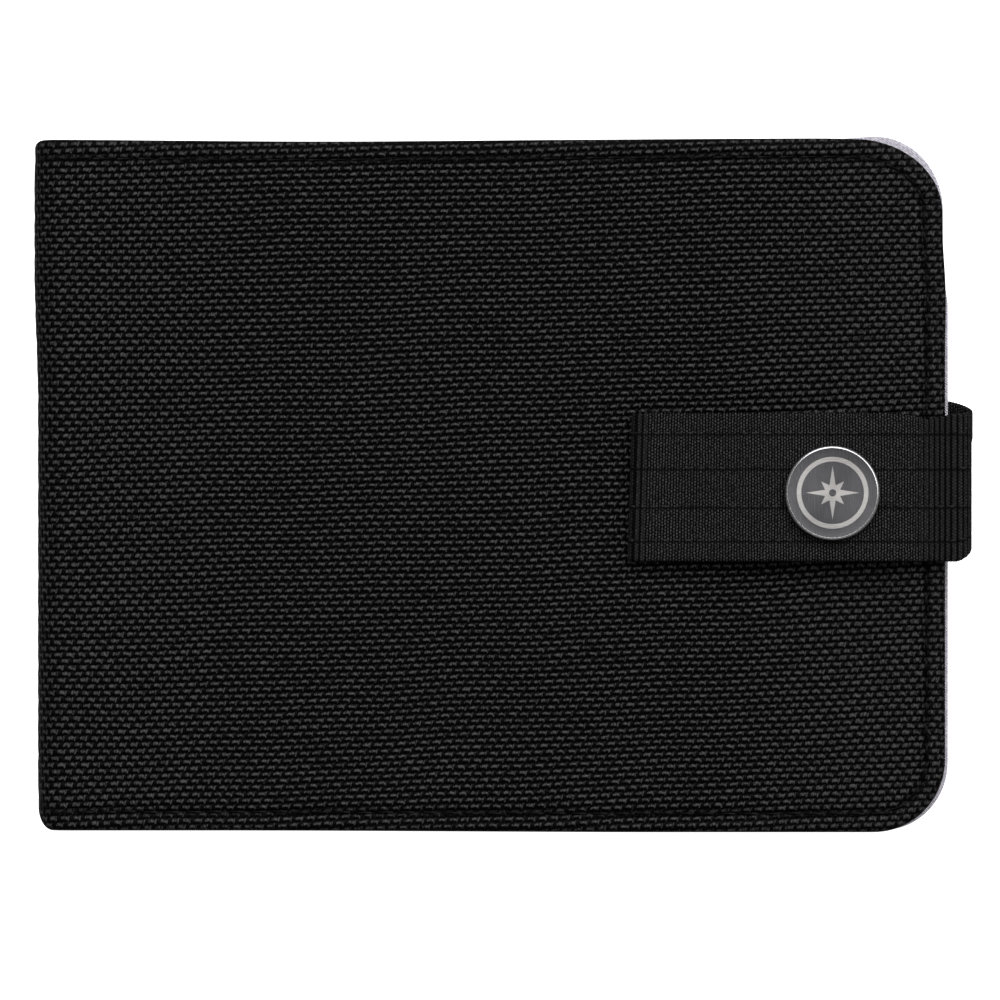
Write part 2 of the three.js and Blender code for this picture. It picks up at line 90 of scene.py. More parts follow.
# Layers of a half, and its seam
SHELL = 1.0 * MM
LINING = 0.4 * MM
LINING_DEPTH = {FRONT: 2.1 * MM, BACK: 2.3 * MM}  # where it starts, under the cover's face
BEND_LINING_DEPTH = 1.2 * MM  # the same round the bend
SEAM_DEPTH = {FRONT: 2.05 * MM, BACK: 2.2 * MM}  # thickness of a cover's turned edge
SEAM_WIDTH = 3.4 * MM
CHANNEL = 0.34 * MM  # depth of the stitched channel
STITCH_INSET = 2.9 * MM
STITCH_PITCH = 3.3 * MM
STITCH_LENGTH = 2.75 * MM

# The free edges
EDGE_STEP = 0.8 * MM
EDGE_ROLL = 1.0 * MM
RIM_BACK = 0.3 * MM  # the back cover's edge stays this far inside its lining's
FRONT_CORNERS = (11.0 * MM, (13.8 * MM, 11.3 * MM))  # lower and upper radii
BACK_CORNERS = (10.3 * MM, (10.6 * MM, 10.6 * MM))
FRONT_RISE, BACK_RISE = -0.15 * MM, 0.6 * MM  # of the upper free corner

# ---------------------------------------------------------------- numbers


def mix(a, b, share):
    return a + (b - a) * share


def smooth(x, low, high):
    """0 below low, 1 above high, and a smooth step between them."""
    t = np.clip((np.asarray(x, float) - low) / (high - low), 0, 1)
    return t * t * (3 - 2 * t)


def bell(x, width):
    return np.exp(-((np.asarray(x, float) / width) ** 2))


def arrays(*values):
    """Numbers and arrays brought to one shape."""
    return np.broadcast_arrays(*(np.asarray(v, float) for v in values))


def waves(s, t, seed, size):
    """Soft irregular waves between about -1 and 1, the same ones each run."""
    rng = np.random.default_rng(seed)
    total = 0.0
    for _ in range(7):
        angle, phase = rng.uniform(0, 2 * math.pi, 2)
        pitch = size * rng.uniform(0.6, 1.7)
        total = total + np.sin((s * math.cos(angle) + t * math.sin(angle)) * 2 * math.pi / pitch + phase)
    return total / 4


def lengths_along(line):
    """How far along a polyline each of its points is."""
    return np.concatenate([[0], np.cumsum(np.linalg.norm(np.diff(line, axis=0), axis=1))])


def resampled(line, step):
    """A polyline again with points that are step apart."""
    along = lengths_along(line)
    at = np.linspace(0, along[-1], round(along[-1] / step) + 1)
    return np.stack([np.interp(at, along, line[:, k]) for k in (0, 1)], axis=1)


def arc(centre, radii, start, end, count):
    """Points on an arc between two angles in degrees, with its radii along the two axes."""
    angle = np.radians(np.linspace(start, end, count))
    return np.stack([centre[0] + radii[0] * np.cos(angle), centre[1] + radii[1] * np.sin(angle)], axis=1)


def rolled(distance, radius):
    """How far a face drops near an edge that rolls over with that radius."""
    left = radius - np.clip(distance, 0, radius)
    return radius - np.sqrt(radius**2 - left**2)


def inward(line, closed=False):
    """The unit normals of a counter-clockwise line, to its left."""
    ahead = np.roll(line, -1, axis=0) - np.roll(line, 1, axis=0) if closed else np.gradient(line, axis=0)
    ahead = ahead / np.linalg.norm(ahead, axis=1)[:, None]
    return np.stack([-ahead[:, 1], ahead[:, 0]], axis=1)


def edge_distance(points, line, closed=False):
    """Each point's distance to a polyline, and how far along the line its nearest place is."""
    ends = np.roll(line, -1, axis=0) if closed else line[1:]
    starts = line if closed else line[:-1]
    step = ends - starts
    length = np.linalg.norm(step, axis=1)
    before = np.concatenate([[0], np.cumsum(length)[:-1]])
    distance, along = np.empty(len(points)), np.empty(len(points))
    for i in range(0, len(points), 2000):
        away = points[i : i + 2000, None] - starts[None]
        share = np.clip((away * step).sum(-1) / length**2, 0, 1)
        gap = np.linalg.norm(away - share[..., None] * step, axis=-1)
        nearest = gap.argmin(1)
        row = np.arange(len(nearest))
        distance[i : i + 2000] = gap[row, nearest]
        along[i : i + 2000] = before[nearest] + share[row, nearest] * length[nearest]
    return distance, along


# ---------------------------------------------------------------- charts


def cover_chart(side):
    """The chart of the front or the back half: flat, then round the bend to the middle of the spine."""

    def place(s, t, h):
        s, t, h = arrays(s, t, h)
        turn = np.clip((BEND_X - s) / BEND_LINE, 0, math.pi / 2)
        down_spine = np.minimum(s - (BEND_X - QUARTER), 0)
        x = np.maximum(s - BEND_X, 0) + BEND_X - (BEND + h) * np.sin(turn)
        x = x - FOLD_LEAN * smooth(t, 12 * MM, 34 * MM) * (1 - smooth(s, BEND_X, BEND_X + 8 * MM))
        z = MIDDLE - BEND + (BEND + h) * np.cos(turn) + down_spine
        return np.stack([x, t, MIDDLE + side * z], axis=-1)

    return place


def level_chart(z, side=FRONT):
    """A flat chart at height z, whose h points up for the front side and down for the back."""

    def place(s, t, h):
        s, t, h = arrays(s, t, h)
        return np.stack([s, t, z + side * h], axis=-1)

    return place


def ribbon_chart(path, drift):
    """A chart along a path of points in X and Z: s is the length along it, t is y, and h is to
    the left of its direction. drift shifts y along the path."""
    along = lengths_along(path)
    slope = np.gradient(path, along, axis=0)
    slope /= np.linalg.norm(slope, axis=1)[:, None]

    def place(s, t, h):
        s, t, h = arrays(s, t, h)
        point = [np.interp(s, along, path[:, k]) for k in (0, 1)]
        ahead = [np.interp(s, along, slope[:, k]) for k in (0, 1)]
        y = t + np.interp(s, along, drift)
        return np.stack([point[0] - ahead[1] * h, y, point[1] + ahead[0] * h], axis=-1)

    return place


# ---------------------------------------------------------------- meshes


def make_piece(name, points, faces, uv=None, sharp=40, edge=None):
    """A smooth-shaded mesh object from points in the row frame. uv is one pair per point, in
    metres, and edge is its distance to the free edge and how far along the edge it is."""
    mesh = bpy.data.meshes.new(name)
    mesh.from_pydata(np.asarray(points, float).tolist(), [], [list(map(int, f)) for f in faces])
    mesh.validate()
    at = np.zeros(len(mesh.loops), np.int32)
    mesh.loops.foreach_get("vertex_index", at)
    for title, values in (("weave", uv), ("edge", edge)):
        if values is not None:
            layer = mesh.uv_layers.new(name=title)
            layer.data.foreach_set("uv", (np.asarray(values, float)[at] / MM).astype(np.float32).ravel())
    mesh.polygons.foreach_set("use_smooth", [True] * len(mesh.polygons))
    mesh.set_sharp_from_angle(angle=math.radians(sharp))
    piece = bpy.data.objects.new(name, mesh)
    bpy.context.scene.collection.objects.link(piece)
    return piece


def tube_faces(rows, around, closed=False):
    """The faces of a tube through rows of points, with an end face at each end unless it closes
    to a ring."""
    faces = []
    for i in range(rows if closed else rows - 1):
        a, b = i * around, (i + 1) % rows * around
        for j in range(around):
            k = (j + 1) % around
            faces.append([a + j, a + k, b + k, b + j])
    if not closed:
        faces += [list(range(around))[::-1], [(rows - 1) * around + j for j in range(around)]]
    return faces


class Pattern:
    """A flat cut of fabric, triangulated: rows of points follow its free edge at the insets, in
    millimetres, and a grid fills the rest. Where the free edge is open, join holds the points of
    the line that closes it, from its end back to its start."""

    def __init__(self, free, insets, grid, join=None):
        closed = join is None
        self.outline = free if closed else np.concatenate([free, join])
        normals = inward(free, closed)
        rows = [self.outline]
        for inset in np.array(insets) * MM:
            row = free + normals * inset
            far = edge_distance(row, free, closed)[0] > inset * 0.97
            rows.append(row[far & self.holds(row)])
        low, high = self.outline.min(0), self.outline.max(0)
        xs = np.arange(low[0] + grid / 2, high[0], grid)
        ys = np.arange(low[1] + grid / 2, high[1], grid * 0.866)
        lattice = np.array([(x + (j % 2) * grid / 2, y) for j, y in enumerate(ys) for x in xs])
        lattice = lattice[self.holds(lattice)]
        deep = edge_distance(lattice, free, closed)[0] > insets[-1] * MM + grid * 0.6
        whole = edge_distance(lattice, self.outline, True)[0] > grid * 0.4
        rows.append(lattice[deep & whole])
        count = len(self.outline)
        ring = [(i, (i + 1) % count) for i in range(count)]
        made = delaunay_2d_cdt([Vector(p) for p in np.concatenate(rows) / MM], ring, [], 1, 1e-5)
        self.points = np.array([tuple(v) for v in made[0]]) * MM
        self.triangles = np.array(made[2])
        where = {o: new for new, old in enumerate(made[3]) for o in old}
        self.rim = np.array([where[i] for i in range(count)])
        self.distance, self.along = edge_distance(self.points, free, closed)
        reached = lengths_along(free)
        self.outward = -np.stack([np.interp(self.along, reached, axis) for axis in normals.T], axis=1)

    def holds(self, points):
        """Whether each point is inside the outline."""
        inside = np.zeros(len(points), bool)
        for a, b in zip(self.outline, np.roll(self.outline, -1, axis=0)):
            crosses = (a[1] > points[:, 1]) != (b[1] > points[:, 1])
            rise = b[1] - a[1] if b[1] != a[1] else 1e-12
            inside ^= crosses & (points[:, 0] < a[0] + (points[:, 1] - a[1]) / rise * (b[0] - a[0]))
        return inside

    def panel(self, name, chart, top, bottom, flip=False):
        """A closed piece between two faces, top and bottom, given as heights h per point."""
        s, t = self.points.T
        n = len(s)
        faces = [list(f) for f in self.triangles] + [[c + n, b + n, a + n] for a, b, c in self.triangles]
        faces += [[b, a, a + n, b + n] for a, b in zip(self.rim, np.roll(self.rim, -1))]
        if flip:
            faces = [f[::-1] for f in faces]
        # the weave carries on round the edge, as far as the piece is thick there
        outward = self.outward * (1 - smooth(self.distance, 0, 2 * MM))[:, None]
        uv = np.concatenate([self.points, self.points + outward * (top - bottom + 0 * s)[:, None]])
        edge = np.tile(np.stack([self.distance, self.along], axis=1), (2, 1))
        points = np.concatenate([chart(s, t, top), chart(s, t, bottom)])
        return make_piece(name, points, faces, uv, edge=edge)


def stitch_runs(line, pitch, length, lift, seed):
    """Stitches along a line of (s, t) points: each rises out of the fabric and goes back in."""
    rng = np.random.default_rng(seed)
    along = lengths_along(line)
    runs = []
    for i in range(int(along[-1] // pitch)):
        start = (i + 0.5) * pitch - length / 2 + rng.uniform(-0.04, 0.04) * pitch
        at = np.linspace(start, start + length, 7)
        s, t = (np.interp(at, along, line[:, k]) for k in (0, 1))
        arch = np.sin(np.linspace(0, math.pi, 7)) ** 0.6
        runs.append(np.stack([s, t, lift * (arch - 0.75)], axis=1))
    return runs


def sew(name, runs, chart, radius, slot, inside_out=False):
    """Stitches as one piece of round thread, one for each run of (s, t, h) points."""
    sides = 8
    angle = 2 * math.pi * np.arange(sides) / sides
    points, faces, uv = [], [], []
    for run in runs:
        across = inward(run[:, :2])
        share = np.linspace(-1, 1, len(run))
        wide = (radius * np.sqrt(np.clip(1 - share**4, 0.12, 1)))[:, None]
        s = run[:, None, 0] + across[:, None, 0] * wide * np.cos(angle)
        t = run[:, None, 1] + across[:, None, 1] * wide * np.cos(angle)
        h = run[:, None, 2] + wide * np.sin(angle)
        count = len(points) * len(run) * sides
        faces += [[i + count for i in face] for face in tube_faces(len(run), sides)]
        points.append(chart(s, t, h).reshape(-1, 3))
        length = np.repeat(lengths_along(run), sides)
        uv.append(np.stack([length, np.tile(angle * radius, len(run))], axis=1))
    if inside_out:
        faces = [f[::-1] for f in faces]
    piece = make_piece(name, np.concatenate(points), faces, np.concatenate(uv))
    finish_piece(piece, slot, "thread")
    return piece


def lathe(name, profile, centre, segments=160):
    """A closed turned piece from (radius, z) points about a vertical axis."""
    ring = arc((0, 0), (1, 1), 0, 360, segments + 1)[:-1]
    points, start = [], []
    for r, z in profile:
        start.append(len(points))
        points += [(centre.x + r * c, centre.y + r * d, z) for c, d in (ring if r else ring[:1])]
    faces = []
    for (r_a, _), (r_b, _), a, b in zip(profile, profile[1:], start, start[1:]):
        for j in range(segments):
            k = (j + 1) % segments
            if not r_a:
                faces.append([a, b + k, b + j])
            elif not r_b:
                faces.append([a + j, a + k, b])
            else:
                faces.append([a + j, a + k, b + k, b + j])
    points = np.array(points)
    return make_piece(name, points, faces, points[:, :2] - np.array(centre)[:2], sharp=28)


# ---------------------------------------------------------------- materials
# The numbers in a material are lengths in millimetres, noise scales per millimetre, and shares.

WARP_PITCH = 0.876
WEFT_PITCH = 1.0
WEFT_SLOPE, WEFT_BOW = 0.032, 0.00009  # the wefts rise to the open edge, more and more
WARP_SLOPE, WARP_BOW = 0.048, -0.00042  # the warps lean, most at the lower edge
BLACK = (0.0001, 0.0001, 0.0001)
SOFT_BLACK = (0.0003, 0.0003, 0.0003)


class Field:
    """A number in a material's nodes, with arithmetic. Steps are made as they are written."""

    def __init__(self, tree, socket):
        self.tree, self.socket = tree, socket

    def op(self, kind, *others):
        node = self.tree.nodes.new("ShaderNodeMath")
        node.operation = kind
        for i, value in enumerate((self, *others)):
            if isinstance(value, Field):
                self.tree.links.new(value.socket, node.inputs[i])
            else:
                node.inputs[i].default_value = value
        return Field(self.tree, node.outputs[0])

    def __add__(self, other):
        return self.op("ADD", other)

    def __sub__(self, other):
        return self.op("SUBTRACT", other)

    def __mul__(self, other):
        return self.op("MULTIPLY", other)

    def __truediv__(self, other):
        return self.op("DIVIDE", other)

    def most(self, other):
        return self.op("MAXIMUM", other)

    def squared(self):
        return self * self

    def within(self):
        """The place within each unit, -1 to 1."""
        return self.op("FRACT") * 2 - 1

    def ridge(self):
        """1 in the middle of each unit, falling to 0 at its ends."""
        return self.within().squared() * -1 + 1

    def near(self, centre, width):
        """1 at centre, falling to 0 at width to each side."""
        return (((self - centre) / width).squared() * -1 + 1).most(0.0)

    def step(self, low, high):
        """0 below low to 1 above high."""
        node = self.tree.nodes.new("ShaderNodeMapRange")
        node.interpolation_type = "SMOOTHSTEP"
        self.tree.links.new(self.socket, node.inputs["Value"])
        node.inputs["From Min"].default_value = low
        node.inputs["From Max"].default_value = high
        return Field(self.tree, node.outputs["Result"])

    def spread(self, low, high):
        """0..1 to low..high."""
        return self * (high - low) + low


class Paint:
    """A new material with its Principled shader, and what its nodes are made from."""

    def __init__(self, name, **constants):
        self.material = bpy.data.materials.new(name)
        self.material.use_nodes = True
        self.tree = self.material.node_tree
        self.shader = self.tree.nodes["Principled BSDF"]
        for title, value in constants.items():
            self.shader.inputs[title.replace("_", " ").title().replace("Ior", "IOR")].default_value = value

    def split(self, socket):
        node = self.tree.nodes.new("ShaderNodeSeparateXYZ")
        self.tree.links.new(socket, node.inputs[0])
        return [Field(self.tree, o) for o in node.outputs]

    def joined(self, *fields):
        node = self.tree.nodes.new("ShaderNodeCombineXYZ")
        for i, field in enumerate(fields):
            self.tree.links.new(field.socket, node.inputs[i])
        return node.outputs[0]

    def pair(self, layer):
        """A UV map's two coordinates."""
        node = self.tree.nodes.new("ShaderNodeUVMap")
        node.uv_map = layer
        return self.split(node.outputs[0])[:2]

    def cloth(self):
        """The weave's two coordinates, and the place that they give."""
        s, t = self.pair("weave")
        return s, t, self.joined(s, t)

    def body(self):
        """The three coordinates on the piece itself, and the place that they give."""
        node = self.tree.nodes.new("ShaderNodeTexCoord")
        axes = [axis / MM for axis in self.split(node.outputs["Object"])]
        return *axes, self.joined(*axes)

    def noise(self, place, scale, detail=2.0):
        node = self.tree.nodes.new("ShaderNodeTexNoise")
        self.tree.links.new(place, node.inputs["Vector"])
        node.inputs["Scale"].default_value = scale
        node.inputs["Detail"].default_value = detail
        return Field(self.tree, node.outputs[0])

    def look(self, shade, dark, light, rough=None, height=None, depth=0.0):
        """Ends the material: a colour from dark to light by shade, 0..1, and where they vary a
        roughness and a height, 0..1, which stands for a bump of depth."""
        ramp = self.tree.nodes.new("ShaderNodeValToRGB")
        ramp.color_ramp.elements[0].color = (*dark, 1)
        ramp.color_ramp.elements[1].color = (*light, 1)
        links = self.tree.links
        links.new(shade.socket, ramp.inputs[0])
        links.new(ramp.outputs[0], self.shader.inputs["Base Color"])
        if rough:
            links.new(rough.socket, self.shader.inputs["Roughness"])
        if height:
            bump = self.tree.nodes.new("ShaderNodeBump")
            bump.inputs["Distance"].default_value = depth * MM
            bump.inputs["Strength"].default_value = 1
            links.new(height.socket, bump.inputs["Height"])
            links.new(bump.outputs[0], self.shader.inputs["Normal"])
        return self.material


def yarns(u, v, sunk=0.1):
    """A plain weave of one warp per unit of u and one weft per unit of v: (height, the place
    along a weft's float, 0 at its middle and 1 under the next warp, the place across the weft).
    The warps lie lower by sunk."""
    column, row = u.op("FLOOR"), v.op("FLOOR")
    odd_column = (column * 0.5).op("FRACT") * -4 + 1
    across_weft, across_warp = v.within(), u.within()
    along_float = ((u - row) * 0.5 + 0.25).within()
    over = (along_float * math.pi).op("COSINE")
    under = (v * math.pi).op("SINE") * odd_column
    weft = over * 0.5 + across_weft.squared() * -0.75
    warp = under * -0.5 + across_warp.squared() * -0.75 - sunk
    return weft.most(warp), along_float, across_weft


def ballistic_nylon():
    """Coarse black plain weave: fat wefts over thinner warps, flattened outside the stitching. Their shine
    is painted into the colour as highlights. Towards the fold its floats are shorter, and by the free edge
    they are fuller."""
    paint = Paint("ballistic_nylon", specular_ior_level=0.04)
    s, t, place = paint.cloth()
    from_edge = paint.pair("edge")[0]
    slow = paint.noise(place, 0.035, 1.0)
    small = paint.noise(place, 0.55, 2.0)
    fine = paint.noise(place, 1.5, 1.0)
    flecks = paint.noise(paint.joined(s * 3.6, t * 1.7), 1.0, 1.0)
    tilt = s * s * WEFT_BOW + s * WEFT_SLOPE
    lean = t * t * WARP_BOW + t * WARP_SLOPE
    u = (s + lean + (small - 0.5) * 0.34 + (fine - 0.5) * 0.22 + (slow - 0.5) * 1.6) / WARP_PITCH
    v = (t - tilt + (small - 0.5) * -0.30 + (fine - 0.5) * 0.26 + (slow - 0.5) * 1.2) / WEFT_PITCH
    height, along_float, across = yarns(u, v, 0.22)
    filaments = paint.noise(paint.joined(s * 1.6, (t + small * 0.5) * 8), 1.0, 2.0)
    glints = paint.noise(paint.joined(s * 1.1, t * 1.1), 1.0, 0.0)
    seam = from_edge.near(STITCH_INSET / MM, 0.75)
    frayed = paint.noise(place, 2.6, 3.0)
    calm = height * from_edge.step(1.6, 2.6).spread(0.55, 1.0)
    # painted highlights: the lit upper side of each float, and a glint on the warp that it dives under
    by_fold = s.step(-34, -62)
    fuller = s.step(28, 62).most(by_fold * 0.6)
    arch = along_float.squared() * fuller.spread(0.45, 0.85)
    side = (across + arch).near(0.20, fuller.spread(0.44, 0.72)) * fuller.spread(1.0, 0.74)
    lit_float = (along_float.squared() * by_fold.spread(1.0, 1.5)).step(0.46, 0.20)
    lit_float = lit_float * side * filaments.spread(0.35, 1.5)
    warp_glint = (along_float - across * 0.17).near(0.64, 0.17)
    warp_glint = warp_glint * across.step(-0.95, -0.4) * across.step(0.95, 0.4)
    warp_glint = warp_glint * glints.spread(0.35, 1.15) * by_fold.spread(1.0, 1.55)
    # painted shade: the highlights dim in the stitched channel and towards the free edge
    shade = lit_float.most(warp_glint) * (seam * -0.75 + 1) * from_edge.step(-0.4, 2.4).spread(0.62, 1.0)
    shade = shade * small.spread(0.7, 1.3) * flecks.step(0.36, 0.62).spread(0.30, 1.48)
    # painted highlight: the raised yarns are a little lighter; the frayed fibres in the seam are lighter too
    shade = shade + frayed.step(0.60, 0.78) * seam * 0.5 + calm.step(-0.5, 0.6) * 0.02
    bumps = calm + (filaments - 0.5) * 0.14 + (frayed - 0.5) * seam * 0.9
    return paint.look(shade, BLACK, (0.066, 0.065, 0.067), filaments.spread(0.36, 0.52), bumps, 0.26)


def pack_cloth():
    """Finer black plain weave of the pocket panels."""
    paint = Paint("pocket_nylon", specular_ior_level=0.08)
    s, t, place = paint.cloth()
    small = paint.noise(place, 0.8, 2.0)
    slow = paint.noise(place, 0.07, 2.0)
    u = (s + (small - 0.5) * 0.2) / 0.56
    v = (t + (small - 0.5) * 0.2) / 0.48
    height, along_float, _ = yarns(u, v)
    threads = paint.noise(paint.joined(s * 3, t * 12), 1.0, 1.0)
    # painted highlights: the raised yarns, and most the wefts that lie on top, are lighter
    weft_on_top = along_float.squared().step(0.55, 0.25)
    shade = (height + 0.5).step(0.15, 1.0) * weft_on_top.spread(0.35, 1.0) * threads.spread(0.5, 1.4)
    shade = shade * slow.spread(0.75, 1.2)
    bumps = height + (threads - 0.5) * 0.2
    return paint.look(shade, SOFT_BLACK, (0.052, 0.051, 0.052), threads.spread(0.42, 0.62), bumps, 0.11)


def lining_twill():
    """Pale lavender-grey lining with a fine diagonal twill."""
    paint = Paint("lining_twill", specular_ior_level=0.35, sheen_weight=0.15, sheen_roughness=0.5)
    s, t, place = paint.cloth()
    small = paint.noise(place, 0.5, 2.0)
    slow = paint.noise(place, 0.05, 1.0)
    flecks = paint.noise(place, 2.1, 1.0).step(0.36, 0.62)
    ridge = ((s * 0.8 + t + (small - 0.5) * 0.25) / 0.42).ridge()
    knots = ((s * 1.3 - t * 0.25) / 0.21).ridge() * 0.4
    height = ridge * 0.6 + knots * ridge
    # painted shade: the twill's grooves are darker than its ridges
    shade = height.step(0.05, 0.95) * 0.40 + flecks * 0.42 + small * 0.10 + slow * 0.08
    return paint.look(shade, (0.36, 0.33, 0.41), (0.86, 0.83, 0.90), small.spread(0.62, 0.82), height, 0.09)


def tape(name, pitch, light, lines=(), open_ribs=()):
    """Ribbed woven tape or webbing: fine weft ribs across s, split by the warps along it, with
    loose lengthwise floats at the given t. Its ribs stand open, two pitches wide, around each
    (s, width) of open_ribs."""
    paint = Paint(name, specular_ior_level=0.04)
    s, t, place = paint.cloth()
    small = paint.noise(place, 0.9, 2.0)
    slow = paint.noise(place, 0.16, 1.0)
    grain = paint.noise(place, 3.2, 1.0).step(0.3, 0.68)
    across = (s + (small - 0.5) * 0.30) / pitch
    ridge = across.ridge()
    dot = ((t + (small - 0.5) * 0.2) / 0.50 + across.op("FLOOR") * 0.5).ridge()
    height = ridge * 0.5 + ridge * dot * 0.5
    # painted highlights on the crests of the ribs and on their dots
    shade = ridge.step(0.50, 1.0) * dot.step(0.25, 1.0).spread(0.12, 1.0) * grain.spread(0.15, 1.3)
    # painted light where the ribs stand open: lit ribs with painted shade in the gaps between them
    for at, width in open_ribs:
        wide_rib = (s / (pitch * 2)).ridge().step(0.5, 0.98)
        near = s.near(at, width)
        shade = shade * (near * -1 + 1) + shade.most(dot * 0.3 + 0.2) * wide_rib * near * 0.8
    for at in lines:
        off = t + (small - 0.5) * 0.2 - at
        # painted shade in the groove beside each lengthwise line, and a painted highlight on its floats
        groove = off.near(-0.16, 0.30)
        lit_float = (s / 1.7).within().step(0.1, -0.25) * off.near(0.12, 0.16) * slow.step(0.42, 0.58)
        shade = (shade * (groove * -0.75 + 1)).most(lit_float * grain.spread(0.2, 0.7))
        height = height - groove * 0.3 + lit_float * 0.3
    return paint.look(shade * small.spread(0.6, 1.4), BLACK, light, small.spread(0.40, 0.60), height, 0.10)


def thread_nylon():
    """Black twisted sewing thread."""
    paint = Paint("sewing_thread", specular_ior_level=0.05)
    s, t, place = paint.cloth()
    ply = ((s * 2.2 + t * 1.6).op("SINE") + 1) * 0.5
    fuzz = paint.noise(place, 3.0, 2.0)
    random_patches = paint.noise(place, 0.75, 1.0).step(0.47, 0.60)
    # painted highlight: the crests of the twist are lighter, in random patches
    shade = (ply * 0.7 + fuzz * 0.3) * random_patches
    bumps = ply + fuzz * 0.3
    return paint.look(shade, SOFT_BLACK, (0.044, 0.044, 0.045), fuzz.spread(0.38, 0.55), bumps, 0.06)


def board():
    """Grey-brown pressed fibre board."""
    paint = Paint("stiffener_board", specular_ior_level=0.3)
    x, y, z, place = paint.body()
    fibres = paint.noise(paint.joined(x * 0.6, y * 2.2, z), 1.0, 4.0)
    specks = paint.noise(place, 2.4, 2.0)
    shade, bumps = fibres * 0.7 + specks * 0.3, fibres + specks * 0.4
    rough = specks.spread(0.75, 0.95)
    return paint.look(shade, (0.10, 0.085, 0.065), (0.30, 0.26, 0.21), rough, bumps, 0.05)


def steel(name, dark, light, rough, brushed_along_y=True, grain=0.05):
    """Brushed steel: fine scratches one way, faint clouds and a few handling marks."""
    paint = Paint(name, metallic=1.0, anisotropic=0.45)
    x, y, z, place = paint.body()
    long, across = (y, x) if brushed_along_y else (x, y)
    scratches = paint.noise(paint.joined(across * 9, long * 0.35, z * 4), 1.0, 3.0)
    clouds = paint.noise(place, 0.45, 3.0)
    marks = paint.noise(paint.joined(x * 1.2 + y, y * 6, z * 3), 1.6, 2.0).step(0.68, 0.76)
    roughness = scratches.spread(rough - 0.06, rough + 0.08) + marks * 0.1
    bumps = scratches + clouds * 0.3 - marks * 0.3
    return paint.look(scratches * 0.6 + clouds * 0.4, dark, light, roughness, bumps, grain)


paints = {
    "ballistic_nylon": ballistic_nylon(),
    "pocket_nylon": pack_cloth(),
    "lining_twill": lining_twill(),
    "binding_tape": tape("binding_tape", 0.36, (0.055, 0.055, 0.057)),
    "stiffener_board": board(),
    "thread": thread_nylon(),
}


def finish_piece(piece, slot, paint=None):
    piece.data.materials.append(paints[paint or slot])


# ---------------------------------------------------------------- camera, floor and lights

CAMERA_DISTANCE = 1.6
CAMERA_X, CAMERA_Y = -0.875 * MM, -2.3 * MM
FRAME_WIDTH = 154.2 * MM  # what the camera sees of the cover's plane
SENSOR = 36
FLOOR_RINGS = (0.3, 1.0, 3.0, 8.0)
FLOOR_SIDES = 64
FLOOR_LEVEL = -0.05 * MM
FLOOR_GLOW = 1.0

scene = bpy.context.scene
scene.view_settings.view_transform = "Standard"
camera = bpy.data.objects.new("camera", bpy.data.cameras.new("camera"))
camera.data.sensor_width = SENSOR
camera.data.lens = SENSOR * CAMERA_DISTANCE / FRAME_WIDTH
camera.data.clip_end = 50
camera.location = (CAMERA_X, CAMERA_Y, THICKNESS + CAMERA_DISTANCE)
scene.collection.objects.link(camera)
scene.camera = camera


def lit_floor():
    """A white table that shines faintly, wide enough for any view."""
    points = [(0, 0, FLOOR_LEVEL)]
    for radius in FLOOR_RINGS:
        circle = arc((0, 0), (radius, radius), 0, 360, FLOOR_SIDES + 1)[:-1]
        points += [(x, y, FLOOR_LEVEL) for x, y in circle]
    around = tube_faces(len(FLOOR_RINGS), FLOOR_SIDES)[:-2]
    faces = [[0, 1 + j, 1 + (j + 1) % FLOOR_SIDES] for j in range(FLOOR_SIDES)]
    faces += [[i + 1 for i in face[::-1]] for face in around]
    floor = make_piece("floor", points, faces)
    paint = Paint("floor_white", roughness=0.8, specular_ior_level=0.2)
    grain = paint.noise(paint.body()[3], 0.02, 2.0)
    paint.look(grain, (0.90, 0.90, 0.90), (0.94, 0.94, 0.94))
    paint.shader.inputs["Emission Color"].default_value = (1, 1, 1, 1)
    paint.shader.inputs["Emission Strength"].default_value = FLOOR_GLOW
    floor.data.materials.append(paint.material)
    # the table doesn't light the wallet's sides, as a cut-out white background doesn't
    floor.visible_diffuse = False
    floor.visible_glossy = False


def sun(name, azimuth, elevation, strength, softness):
    """A soft light from the azimuth, counter-clockwise from +X, and the elevation, in degrees."""
    light = bpy.data.lights.new(name, "SUN")
    light.energy = strength
    light.angle = math.radians(softness)
    lamp = bpy.data.objects.new(name, light)
    a, e = math.radians(azimuth), math.radians(elevation)
    toward = Vector((math.cos(a) * math.cos(e), math.sin(a) * math.cos(e), math.sin(e)))
    lamp.rotation_euler = toward.to_track_quat("Z", "Y").to_euler()
    scene.collection.objects.link(lamp)


def studio_walls():
    """A pale horizon under a dim ceiling."""
    world = bpy.data.worlds.new("studio")
    world.use_nodes = True
    nodes, links = world.node_tree.nodes, world.node_tree.links
    place = nodes.new("ShaderNodeTexCoord")
    split = nodes.new("ShaderNodeSeparateXYZ")
    ramp = nodes.new("ShaderNodeValToRGB")
    for element, position, grey in zip(ramp.color_ramp.elements, (0.02, 0.55), (0.30, 0.02)):
        element.position = position
        element.color = (grey, grey, grey, 1)
    links.new(place.outputs["Generated"], split.inputs[0])
    links.new(split.outputs[2], ramp.inputs[0])
    links.new(ramp.outputs[0], nodes["Background"].inputs["Color"])
    scene.world = world


lit_floor()
studio_walls()
sun("key", 92, 46, 2.2, 50)
sun("left", 165, 62, 0.30, 36)
sun("right", 30, 48, 1.25, 40)
sun("low", 270, 55, 0.3, 60)


# ---------------------------------------------------------------- the two halves


def fold_dip(s, reach, rise):
    """How far a long edge draws in where it goes round the fold."""
    turn = np.clip((BEND_X - s) / BEND_LINE, 0, math.pi / 2)
    share = np.clip(1 - BEND * (1 - np.sin(turn)) / reach, 0, 1)
    return rise * (1 - np.sqrt(1 - share**2))


